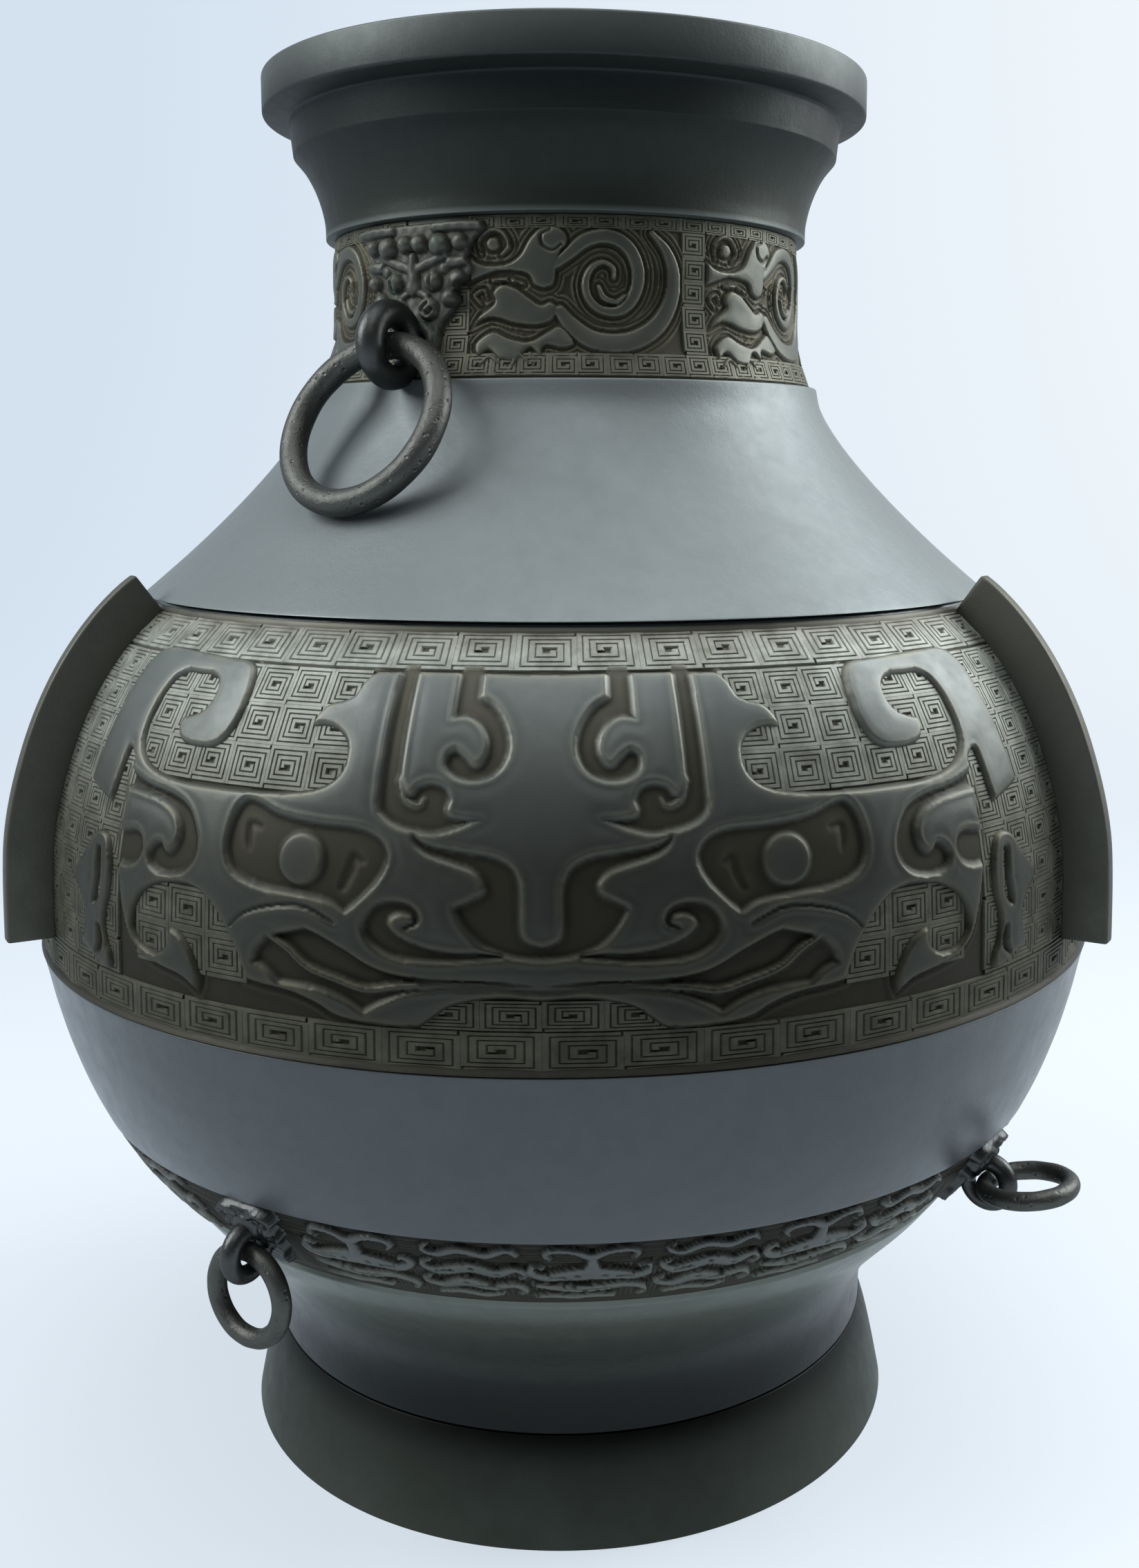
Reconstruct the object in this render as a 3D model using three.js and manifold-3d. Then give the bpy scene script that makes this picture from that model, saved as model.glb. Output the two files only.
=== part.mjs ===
// A cast bronze baluster vase in the archaic ritual style: a three-part vessel (neck section, belly, foot)
// closed by a base plate, three vertical flanges on the belly, two animal masks with loose rings on the
// neck and four small ones on the lower band. Millimetres, +Z up. The axis of the vase is the Z axis and
// the foot stands on z = 0. An azimuth is counted in degrees from -Y, the front, and grows towards +X.

import * as THREE from 'three';
import { mergeVertices } from 'three/addons/utils/BufferGeometryUtils.js';
import Module from 'manifold-3d';

const wasm = await Module();
wasm.setup();

// Heights of the vessel's edges above the table
const RIM_TOP_Z = 400;
const COLLAR_FOOT_Z = 378;
const NECK_BAND_TOP_Z = 354.5;
const NECK_BAND_FOOT_Z = 312.1;
const SHOULDER_Z = 252.5;
const MAIN_BAND_FOOT_Z = 154.3;
const LOWER_BAND_FOOT_Z = 82;
const WAIST_Z = 29;

// Radii of the same edges
const RIM_RADIUS = 88.8;
const MOUTH_RADIUS = 78.5;
const COLLAR_RADIUS = 81.3;
const COLLAR_FOOT_RADIUS = 80.2;
const NECK_EDGE_RADIUS = 71.3;
const NECK_RADIUS = 69.6;
const NECK_BAND_FOOT_RADIUS = 74;
const SHOULDER_RADIUS = 125.7;
const MAIN_BAND_FOOT_RADIUS = 158.5;
const LOWER_BAND_FOOT_RADIUS = 124.3;
const WAIST_RADIUS = 92.3;
const FOOT_RADIUS = 99.6;

// The rim band and the slope under it
const RIM_HEIGHT = 10.8;
const RIM_UNDERCUT = 1.5;

// Small steps where a cast band meets a plain zone
const NECK_BAND_LIP = 1.2;
const SHOULDER_LIP = 0.8;
const MAIN_BAND_LIP = 1.1;
const LOWER_BAND_LIP = 1.4;
const STEP_HEIGHT = 0.4;

// Depth of the main band's ground below the skin, which is the level of its raised forms
const MAIN_RELIEF = 1.6;
const RELIEF_ROOT = 0.5;

// How far each zone's curve is pulled from its upper and its lower end, as radius and height
const FLARE_PULLS = [[-6, -5.8], [-0.5, 6.7]];
const NECK_PULLS = [[0.7, -20.3], [-6.4, 15.7]];
const SHOULDER_PULLS = [[-0.8, -10.1], [-29.7, 24.8]];
const MAIN_BAND_PULLS = [[3.1, -1.8], [4.7, 71.7]];
const LOWER_BELLY_PULLS = [[-1.1, -0.9], [27.5, 26.8]];
const TAPER_PULLS = [[-10.3, -15.6], [-2.4, 25.5]];
const SKIRT_PULLS = [[2.4, -4.4], [-3.3, 16.8]];

// Wall of the castings and the gaps where one piece seats on another
const WALL = 4;
const SEAT_GAP = 0.35;
const SPIGOT_WALL = 3.5;
const SPIGOT_LENGTH = 8;
const NECK_SPIGOT_CLEARANCE = 0.4;
const FOOT_SPIGOT_CLEARANCE = 1;

// Foot ring and the plate that closes the vessel
const FOOT_EDGE = 5;
const FOOT_WALL_Z = 10;
const LEDGE_WIDTH = 5;
const LEDGE_HEIGHT = 4;
const PLATE_THICKNESS = 3;
const PLATE_UNDERSIDE_Z = 24;

// Flanges
const FLANGE_DEPTH = 10.5;
const FLANGE_THICKNESS = 5;
const FLANGE_TOP_Z = 251.4;
const FLANGE_FOOT_Z = 163.5;
const FLANGE_AZIMUTHS = { flange_right: 45, flange_back: 165, flange_left: -75 };

// A ring fitting is a mask on the vessel, a closed loop out of its mouth and a loose ring in the loop.
// A mask's outline is its half width at each drop below its top edge. The middle of the loop's bar, where
// it comes out of the mask, stands off the skin by the root standoff.
const NECK_FITTING = {
  rootStandoff: 0.7,
  hingeZ: 320.3,
  ringRadius: 23.2,
  ringBar: 3.75,
  ringSteps: 30,
  loopBar: 3.9,
  loopSteps: 18,
  maskTopZ: 353,
  maskThickness: 3,
  maskOutline: [[0, 22], [8, 20], [16, 15.6], [23, 12.5], [31, 8.5], [38, 6]],
  eyes: { radius: 3.4, side: 8, drop: 12 },
  nose: { radius: 4, drop: 18 },
};
const LOWER_FITTING = {
  rootStandoff: 0.5,
  hingeZ: 93.8,
  ringRadius: 11.4,
  ringBar: 2.6,
  ringSteps: 24,
  loopBar: 2.6,
  loopSteps: 14,
  maskTopZ: 107.5,
  maskThickness: 2.2,
  maskOutline: [[0, 8], [5, 10.5], [11, 8], [17, 5], [20, 4]],
  eyes: { radius: 1.9, side: 5.2, drop: 6.5 },
  nose: { radius: 3.8, drop: 5.5 },
};
const LOOP_CLEARANCE = 0.6;
const NECK_MASK_AZIMUTHS = { front: -48, back: 132 };
const LOWER_MASK_AZIMUTHS = { front_left: -48, front_right: 42, back_right: 132, back_left: 222 };
const RAISED_RING = 'front_right';
const RAISED_RING_LEAN_DEGREES = 98;

// Animal faces of the main band. An outline is the right half of a face, in arc and height, and the arcs
// are measured at the arc radius. The other half is its mirror image.
const FACE_ARC_RADIUS = 158;
const FACE_AZIMUTHS = [-15, 105, 225];
const FACE_HALF = [
  [-1, 242.8], [46, 242.8], [51.5, 237.6], [60.3, 233.4], [61.2, 229.3], [53, 228.6], [50.2, 222],
  [58, 216.7], [90, 215.4], [112, 217.8], [118.6, 226], [116.6, 236.2], [107, 238.6], [98, 236.9],
  [98.8, 231.8], [106.4, 229.6], [104.2, 223.8], [95, 222.3], [86.4, 225.2], [83.4, 233.5], [86, 242],
  [100, 243.9], [128, 244.6], [136, 239.8], [140, 209.5], [125.4, 205.6], [123.2, 219.4], [119.2, 205],
  [116.8, 187], [112.3, 175], [100, 169.6], [87, 165.3], [85.7, 169.5], [90, 178.4], [98.4, 181.3],
  [98.2, 176.2], [107, 175.4], [109, 183.3], [98, 190.3], [88, 190.5], [76.5, 180], [72.3, 171],
  [48, 165.2], [28, 164.2], [20, 169.4], [-1, 171],
];
const SIDE_BEAST = [
  [121.5, 196], [128, 200.2], [141.2, 188.6], [141.4, 184.6], [135.4, 178], [138.6, 169.6], [125, 164.8],
  [120.6, 165.4], [123, 174], [120.2, 191],
];
const EYE_OPENING = [
  [35, 203], [43, 209.2], [65, 211], [75, 213.4], [79.6, 204.6], [76, 195.8], [50, 191.6], [45.4, 189.2],
];
const PUPIL = [[51, 201], [54, 206.5], [61, 206.5], [64, 201], [61, 195.5], [54, 195.5]];

// Facets
const TURN_STEPS = 48;
const CURVE_STEPS = 6;
const WALL_STEPS = 10;
const BAR_SIDES = 8;
const BOSS_STEPS = 10;

const BRONZE = { color: 0x3d423f, roughness: 0.42, metalness: 0.85 };
const DARK_BRONZE = { color: 0x2f3330, roughness: 0.5, metalness: 0.8 };
const RUBBED_BRONZE = { color: 0x4a4b48, roughness: 0.32, metalness: 0.9 };

const radians = THREE.MathUtils.degToRad;
const point = (radius, z) => new THREE.Vector2(radius, z);

// The outside of the vessel, zone by zone from the rim down, as curves of radius and height
const rimFootZ = RIM_TOP_Z - RIM_HEIGHT;
const collarTop = point(COLLAR_RADIUS, rimFootZ - RIM_UNDERCUT);
const bellyTopZ = SHOULDER_Z - STEP_HEIGHT;
const footTopZ = WAIST_Z - STEP_HEIGHT;

function curve(top, foot, [fromTop, fromFoot]) {
  const upper = top.clone().add(point(...fromTop));
  const lower = foot.clone().add(point(...fromFoot));
  return new THREE.CubicBezierCurve(top, upper, lower, foot).getPoints(CURVE_STEPS);
}

const neckFlare = curve(
  point(COLLAR_FOOT_RADIUS, COLLAR_FOOT_Z),
  point(NECK_EDGE_RADIUS, NECK_BAND_TOP_Z),
  FLARE_PULLS,
);
const neckBand = curve(
  point(NECK_RADIUS, NECK_BAND_TOP_Z - STEP_HEIGHT),
  point(NECK_BAND_FOOT_RADIUS, NECK_BAND_FOOT_Z),
  NECK_PULLS,
);
const shoulder = curve(
  point(NECK_BAND_FOOT_RADIUS + NECK_BAND_LIP, NECK_BAND_FOOT_Z - STEP_HEIGHT),
  point(SHOULDER_RADIUS, SHOULDER_Z),
  SHOULDER_PULLS,
);
const mainBand = curve(
  point(SHOULDER_RADIUS - SHOULDER_LIP, bellyTopZ),
  point(MAIN_BAND_FOOT_RADIUS, MAIN_BAND_FOOT_Z),
  MAIN_BAND_PULLS,
);
const lowerBelly = curve(
  point(MAIN_BAND_FOOT_RADIUS - MAIN_BAND_LIP, MAIN_BAND_FOOT_Z - STEP_HEIGHT),
  point(LOWER_BAND_FOOT_RADIUS, LOWER_BAND_FOOT_Z),
  LOWER_BELLY_PULLS,
);
const taper = curve(
  point(LOWER_BAND_FOOT_RADIUS - LOWER_BAND_LIP, LOWER_BAND_FOOT_Z - STEP_HEIGHT),
  point(WAIST_RADIUS, WAIST_Z),
  TAPER_PULLS,
);
const skirt = curve(point(WAIST_RADIUS, footTopZ), point(FOOT_RADIUS, 0), SKIRT_PULLS);
const skin = [...neckFlare, ...neckBand, ...shoulder, ...mainBand, ...lowerBelly, ...taper];

// Radius of a falling outline at height z
function radiusAt(outline, z) {
  const next = outline.findIndex((p) => p.y <= z);
  if (next <= 0) {
    return next === 0 ? outline[0].x : outline.at(-1).x;
  }
  const high = outline[next - 1];
  const low = outline[next];
  return high.x + ((low.x - high.x) * (high.y - z)) / (high.y - low.y);
}

// A point at height z and a given depth below the skin, measured square to the wall. A negative depth
// lies outside the skin.
const SLOPE_REACH = 3;

function beneathSkin(z, depth) {
  const rise = radiusAt(skin, z + SLOPE_REACH) - radiusAt(skin, z - SLOPE_REACH);
  return point(radiusAt(skin, z) - depth * Math.hypot(1, rise / (2 * SLOPE_REACH)), z);
}

function levels(from, to) {
  return Array.from({ length: WALL_STEPS + 1 }, (_, i) => from + ((to - from) * i) / WALL_STEPS);
}

// A solid of revolution about Z. Its outline runs down the outside and back up the inside.
function turned(outline) {
  const closed = outline[0].x > 0 ? [...outline, outline[0]] : outline;
  return new THREE.LatheGeometry(closed.slice().reverse(), TURN_STEPS).rotateX(Math.PI / 2);
}

// Conversion to solids for joining and cutting, and back
function toSolid(geometry) {
  const bare = geometry.clone();
  bare.deleteAttribute('normal');
  bare.deleteAttribute('uv');
  const welded = mergeVertices(bare);
  return new wasm.Manifold(new wasm.Mesh({
    numProp: 3,
    vertProperties: new Float32Array(welded.attributes.position.array),
    triVerts: new Uint32Array(welded.index.array),
  }));
}

function fromSolid(solid) {
  const { vertProperties, triVerts } = solid.getMesh();
  const geometry = new THREE.BufferGeometry();
  geometry.setAttribute('position', new THREE.BufferAttribute(new Float32Array(vertProperties), 3));
  geometry.setIndex(new THREE.BufferAttribute(new Uint32Array(triVerts), 1));
  geometry.computeVertexNormals();
  return geometry;
}

// A flat outline of arc and height, bent round the vessel's axis and pushed out through its wall
const BLOCK_REACH = [20, 230];

function bentBlock(outline, arcRadius, azimuth) {
  return new wasm.CrossSection([outline], 'NonZero').extrude(1).warp((place) => {
    const [arc, z, depth] = place;
    const radius = BLOCK_REACH[Math.round(depth)];
    const turn = radians(azimuth) + arc / arcRadius;
    place[0] = radius * Math.sin(turn);
    place[1] = -radius * Math.cos(turn);
    place[2] = z;
  });
}

const mirrored = (outline) => outline.map(([arc, z]) => [-arc, z]).reverse();
const joined = (solids) => solids.reduce((whole, solid) => whole.add(solid));

// The neck section: rim, collar, neck and shoulder, with a spigot that drops into the belly's mouth
function neckSection() {
  const spigotRadius = beneathSkin(bellyTopZ, WALL).x - NECK_SPIGOT_CLEARANCE;
  const innerFootZ = SHOULDER_Z + SPIGOT_LENGTH / 2;
  return turned([
    point(RIM_RADIUS, RIM_TOP_Z),
    point(RIM_RADIUS, rimFootZ),
    collarTop,
    ...neckFlare,
    ...neckBand,
    ...shoulder,
    point(spigotRadius, SHOULDER_Z),
    point(spigotRadius, SHOULDER_Z - SPIGOT_LENGTH),
    point(spigotRadius - SPIGOT_WALL, SHOULDER_Z - SPIGOT_LENGTH),
    ...levels(innerFootZ, COLLAR_FOOT_Z - WALL).map((z) => beneathSkin(z, WALL)),
    point(collarTop.x - WALL, collarTop.y),
    point(MOUTH_RADIUS, RIM_TOP_Z),
  ]);
}

// The belly, from under the shoulder's edge to the waist, open at both ends. The main band's ground is set
// back, and the raised forms on it reach the skin and are rooted below the ground.
function belly() {
  const below = (depth) => mainBand.map((p) => beneathSkin(p.y, depth));
  const casting = turned([
    ...below(MAIN_RELIEF),
    ...lowerBelly,
    ...taper,
    ...levels(WAIST_Z, bellyTopZ).map((z) => beneathSkin(z, WALL)),
  ]);
  const raised = turned([...mainBand, ...below(MAIN_RELIEF + RELIEF_ROOT).reverse()]);
  return fromSolid(toSolid(casting).add(toSolid(raised).intersect(faces())));
}

// Three animal faces with open eyes, and the pads on which the flanges between them are seated
function faces() {
  const everywhere = (outlines) => joined(FACE_AZIMUTHS.flatMap((azimuth) => (
    outlines.map((outline) => bentBlock(outline, FACE_ARC_RADIUS, azimuth))
  )));
  const plates = everywhere([FACE_HALF, mirrored(FACE_HALF), SIDE_BEAST, mirrored(SIDE_BEAST)]);
  const eyes = everywhere([EYE_OPENING, mirrored(EYE_OPENING)]);
  const pupils = everywhere([PUPIL, mirrored(PUPIL)]);
  const half = FLANGE_THICKNESS / 2;
  const seat = [[-half, FLANGE_FOOT_Z], [half, FLANGE_FOOT_Z], [half, FLANGE_TOP_Z], [-half, FLANGE_TOP_Z]];
  const pads = Object.values(FLANGE_AZIMUTHS).map((azimuth) => bentBlock(seat, FACE_ARC_RADIUS, azimuth));
  return plates.subtract(eyes).add(pupils).add(joined(pads));
}

// The foot ring has a spigot that stands inside the waist and a ledge that carries the base plate.
const footSpigotRadius = WAIST_RADIUS - WALL - FOOT_SPIGOT_CLEARANCE;
const plateSeatRadius = footSpigotRadius - SPIGOT_WALL;
const ledgeRadius = plateSeatRadius - LEDGE_WIDTH;
const ledgeTopZ = PLATE_UNDERSIDE_Z - SEAT_GAP;

function foot() {
  return turned([
    ...skirt,
    point(FOOT_RADIUS - FOOT_EDGE, 0),
    point(radiusAt(skirt, FOOT_WALL_Z) - FOOT_EDGE, FOOT_WALL_Z),
    point(ledgeRadius, ledgeTopZ - LEDGE_HEIGHT),
    point(ledgeRadius, ledgeTopZ),
    point(plateSeatRadius, ledgeTopZ),
    point(plateSeatRadius, footTopZ + SPIGOT_LENGTH),
    point(footSpigotRadius, footTopZ + SPIGOT_LENGTH),
    point(footSpigotRadius, footTopZ),
  ]);
}

// The plate lies on the ledge inside the foot and closes the bottom of the vessel.
function basePlate() {
  const edge = plateSeatRadius - SEAT_GAP;
  const topZ = PLATE_UNDERSIDE_Z + PLATE_THICKNESS;
  return turned([
    point(0, topZ),
    point(edge, topZ),
    point(edge, PLATE_UNDERSIDE_Z),
    point(0, PLATE_UNDERSIDE_Z),
  ]);
}

// A flange stands on the main band in a plane through the axis, its outer edge parallel to the skin.
// It is drawn as radius and height and then turned so that it stands out at the front.
function flange() {
  const between = mainBand.map((p) => p.y).filter((z) => z < FLANGE_TOP_Z && z > FLANGE_FOOT_Z);
  const heights = [FLANGE_TOP_Z, ...between, FLANGE_FOOT_Z];
  const seat = heights.map((z) => beneathSkin(z, -SEAT_GAP));
  const edge = heights.map((z) => beneathSkin(z, -FLANGE_DEPTH));
  const outline = new THREE.Shape([...seat, ...edge.reverse()]);
  return new THREE.ExtrudeGeometry(outline, { depth: FLANGE_THICKNESS, bevelEnabled: false })
    .translate(0, 0, -FLANGE_THICKNESS / 2)
    .rotateX(Math.PI / 2)
    .rotateZ(-Math.PI / 2);
}

// The vessel's skin grown outwards by a distance, as a solid between two heights
function grownSkin(grow, topZ, footZ) {
  const between = skin.map((p) => p.y).filter((z) => z < topZ && z > footZ);
  const side = [topZ, ...between, footZ].map((z) => beneathSkin(z, -grow));
  return toSolid(turned([point(0, topZ), ...side, point(0, footZ)]));
}

const loopRadius = ({ ringBar, loopBar }) => ringBar + LOOP_CLEARANCE + loopBar;

// Distance from the vessel's axis to the middle of the loop, where the ring hangs
function hingeRadius(fitting) {
  return radiusAt(skin, fitting.hingeZ) + fitting.rootStandoff + loopRadius(fitting);
}

// The front-facing outline of a mask, pushed straight out from the vessel's axis
function maskPrism(fitting) {
  const { maskOutline, maskTopZ } = fitting;
  const right = maskOutline.map(([drop, side]) => point(side, maskTopZ - drop));
  const left = maskOutline.map(([drop, side]) => point(-side, maskTopZ - drop)).reverse();
  const outline = new THREE.Shape([...right, ...left]);
  const depth = hingeRadius(fitting) + loopRadius(fitting);
  return new THREE.ExtrudeGeometry(outline, { depth, bevelEnabled: false }).rotateX(Math.PI / 2);
}

// A rounded boss on a mask's face, to the side of its middle and below its top edge
function boss({ radius, side = 0, drop }, { maskTopZ, maskThickness }) {
  const z = maskTopZ - drop;
  const faceRadius = radiusAt(skin, z) + maskThickness;
  return new THREE.SphereGeometry(radius, BOSS_STEPS, BOSS_STEPS / 2)
    .translate(side, -Math.sqrt(faceRadius ** 2 - side ** 2), z);
}

// The closed loop stands in the plane through the vessel's axis, and the ring's bar passes through it.
function loop(fitting) {
  return new THREE.TorusGeometry(loopRadius(fitting), fitting.loopBar, BAR_SIDES, fitting.loopSteps)
    .translate(hingeRadius(fitting), fitting.hingeZ, 0)
    .rotateX(Math.PI / 2)
    .rotateZ(-Math.PI / 2);
}

// A mask, its bosses and its loop, cut off at a seat gap above the skin
function mask(fitting, azimuth) {
  const { maskTopZ, maskThickness, maskOutline, eyes, nose, hingeZ } = fitting;
  const faced = (geometry) => toSolid(geometry.rotateZ(radians(azimuth)));
  const maskFootZ = maskTopZ - maskOutline.at(-1)[0];
  const loopReach = 2 * loopRadius(fitting);
  const plate = grownSkin(maskThickness, maskTopZ, maskFootZ).intersect(faced(maskPrism(fitting)));
  const features = [
    boss(nose, fitting),
    boss(eyes, fitting),
    boss({ ...eyes, side: -eyes.side }, fitting),
    loop(fitting),
  ];
  const whole = features.reduce((solid, feature) => solid.add(faced(feature)), plate);
  const seat = grownSkin(SEAT_GAP, maskTopZ + loopReach, Math.min(maskFootZ, hingeZ) - loopReach);
  return fromSolid(whole.subtract(seat));
}

// Distance from a point outside the vessel to its skin, in the plane through the axis
function distanceToSkin(place) {
  const flat = (p) => new THREE.Vector3(p.x, p.y, 0);
  const nearest = new THREE.Vector3();
  const target = flat(place);
  const distances = skin.slice(1).map((end, i) => {
    const side = new THREE.Line3(flat(skin[i]), flat(end));
    return side.closestPointToPoint(target, true, nearest).distanceTo(target);
  });
  return Math.min(...distances);
}

// Lean in degrees at which a ring hangs: upright, or laid against the vessel where that stands in the way
const LEAN_STEP = 0.1;

function restLean(fitting) {
  const reach = 2 * fitting.ringRadius;
  const isClear = (lean) => {
    const out = reach * Math.sin(radians(lean));
    const down = reach * Math.cos(radians(lean));
    const bar = point(hingeRadius(fitting) + out, fitting.hingeZ - down);
    return bar.x > radiusAt(skin, bar.y) && distanceToSkin(bar) >= fitting.ringBar + SEAT_GAP;
  };
  let lean = 0;
  while (!isClear(lean) && lean < 90) {
    lean += LEAN_STEP;
  }
  return lean;
}

const mesh = (name, geometry, finish) => {
  const piece = new THREE.Mesh(geometry, new THREE.MeshStandardMaterial(finish));
  piece.name = name;
  return piece;
};

// A loose ring hangs from its hinge point, in a group turned to the fitting's azimuth.
function hungRing(name, fitting, azimuth, lean) {
  const { ringRadius, ringBar, ringSteps } = fitting;
  const geometry = new THREE.TorusGeometry(ringRadius, ringBar, BAR_SIDES, ringSteps).rotateX(Math.PI / 2);
  const ring = mesh(name, geometry, RUBBED_BRONZE);
  ring.position.z = -ringRadius;
  const hinge = new THREE.Group().add(ring);
  hinge.position.set(0, -hingeRadius(fitting), fitting.hingeZ);
  hinge.rotation.x = -radians(lean);
  const facing = new THREE.Group().add(hinge);
  facing.rotation.z = radians(azimuth);
  return facing;
}

const vase = new THREE.Group();
vase.add(
  mesh('neck_section', neckSection(), BRONZE),
  mesh('belly', belly(), BRONZE),
  mesh('foot', foot(), BRONZE),
  mesh('base_plate', basePlate(), DARK_BRONZE),
);
for (const [name, azimuth] of Object.entries(FLANGE_AZIMUTHS)) {
  const piece = mesh(name, flange(), BRONZE);
  piece.rotation.z = radians(azimuth);
  vase.add(piece);
}
for (const [place, azimuth] of Object.entries(NECK_MASK_AZIMUTHS)) {
  vase.add(mesh(`neck_mask_${place}`, mask(NECK_FITTING, azimuth), DARK_BRONZE));
  vase.add(hungRing(`neck_ring_${place}`, NECK_FITTING, azimuth, restLean(NECK_FITTING)));
}
for (const [place, azimuth] of Object.entries(LOWER_MASK_AZIMUTHS)) {
  const lean = place === RAISED_RING ? RAISED_RING_LEAN_DEGREES : restLean(LOWER_FITTING);
  vase.add(mesh(`lower_mask_${place}`, mask(LOWER_FITTING, azimuth), DARK_BRONZE));
  vase.add(hungRing(`lower_ring_${place}`, LOWER_FITTING, azimuth, lean));
}

export default vase;
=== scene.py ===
# %% [markdown]
# # A cast bronze vase with masks and loose rings
# The vase is a set of castings: a neck section, a belly and a foot ring, three flanges, six small animal
# masks with loops and six loose rings. Its belly and neck carry cast relief over a ground of square
# spirals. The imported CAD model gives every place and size, and this script dresses it: it reads the
# profile from the CAD nodes, builds the finished surfaces over it and gives each one its bronze.

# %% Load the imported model
import math

import bpy
import numpy as np
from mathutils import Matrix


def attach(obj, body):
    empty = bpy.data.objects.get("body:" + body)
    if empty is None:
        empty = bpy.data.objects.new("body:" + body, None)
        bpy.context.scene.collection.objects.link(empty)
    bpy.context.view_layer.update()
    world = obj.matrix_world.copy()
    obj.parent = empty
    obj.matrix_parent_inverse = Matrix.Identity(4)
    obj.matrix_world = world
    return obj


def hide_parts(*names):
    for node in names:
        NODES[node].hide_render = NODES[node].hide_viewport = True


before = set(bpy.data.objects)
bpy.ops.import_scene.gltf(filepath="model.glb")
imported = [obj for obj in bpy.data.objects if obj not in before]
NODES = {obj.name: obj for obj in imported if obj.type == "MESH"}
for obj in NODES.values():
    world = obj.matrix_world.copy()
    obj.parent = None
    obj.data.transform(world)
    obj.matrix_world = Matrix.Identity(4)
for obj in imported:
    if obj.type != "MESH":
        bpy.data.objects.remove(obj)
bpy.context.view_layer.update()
MM = 0.001
print("CAD nodes:", len(NODES))

# %% [markdown]
# ## Reading the profile
# A turned or cast vessel is one profile swept round its axis. The CAD nodes are faceted, so a copy of
# their mesh would show flat stretches. Instead the corners of their outer faces are read as radius and
# height, split where a small step parts two zones, and joined by smooth curves that never overshoot.

# %% Corners of the outer faces
# Measures are in millimetres, as in the CAD source, and a piece is scaled to metres when it is made.
SAME_CORNER = 0.1
FACET_DEGREES, FACET_SLACK = 7.5, 0.02
RING_CORNERS = 40
LOOKS_OUT = 0.15
ABOVE_ALL = 500


def node_points(name):
    """The corners of a node's triangles in millimetres, three by three."""
    mesh = NODES[name].data
    mesh.calc_loop_triangles()
    corners = np.zeros(len(mesh.loop_triangles) * 3, np.int32)
    mesh.loop_triangles.foreach_get("vertices", corners)
    places = np.zeros(len(mesh.vertices) * 3)
    mesh.vertices.foreach_get("co", places)
    return places.reshape(-1, 3)[corners].reshape(-1, 3, 3) / MM


def outer_corners(name, low, high):
    """Radius and height of the rings of corners that look away from the axis, from the top down.

    A ring has a corner at every facet's edge. The widest ring of a height counts, and the corners of cast
    forms between the rings are passed over.
    """
    triangles = node_points(name)
    normals = np.cross(triangles[:, 1] - triangles[:, 0], triangles[:, 2] - triangles[:, 0])
    middles = triangles.mean(axis=1)
    outward = (normals[:, :2] * middles[:, :2]).sum(axis=1)
    keep = outward > LOOKS_OUT * np.linalg.norm(normals, axis=1) * np.hypot(middles[:, 0], middles[:, 1])
    places = np.unique(triangles[keep].reshape(-1, 3).round(2), axis=0)
    turns = np.degrees(np.arctan2(places[:, 0], -places[:, 1])) / FACET_DEGREES
    places = places[np.abs(turns - turns.round()) < FACET_SLACK]
    rings = []
    for z in np.unique(places[:, 2])[::-1]:
        level = places[places[:, 2] == z]
        if low < z < high and len(level) >= RING_CORNERS:
            rings.append((np.hypot(level[:, 0], level[:, 1]).max(), z))
    rings = np.array(rings)
    apart = np.hypot(*np.diff(rings, axis=0).T) > SAME_CORNER
    return rings[np.insert(apart, 0, True)]


belly_rings = outer_corners("belly", 0, ABOVE_ALL)
belly_top, belly_foot = belly_rings[0, 1], belly_rings[-1, 1]
neck_rings = outer_corners("neck_section", belly_top, ABOVE_ALL)
foot_rings = outer_corners("foot", -1, belly_foot - 2 * SAME_CORNER)
corners = np.vstack([neck_rings, belly_rings, foot_rings])
print("profile corners:", len(corners))

# %% Zones between the steps
# The first and last ring of the main band lie on its ground, so the edges next to them give its skin there.
STEP = 0.6
SHOULDER_LIP, MAIN_FOOT_LIP = 0.8, 1.1
PROFILE_STEPS = 400


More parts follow.
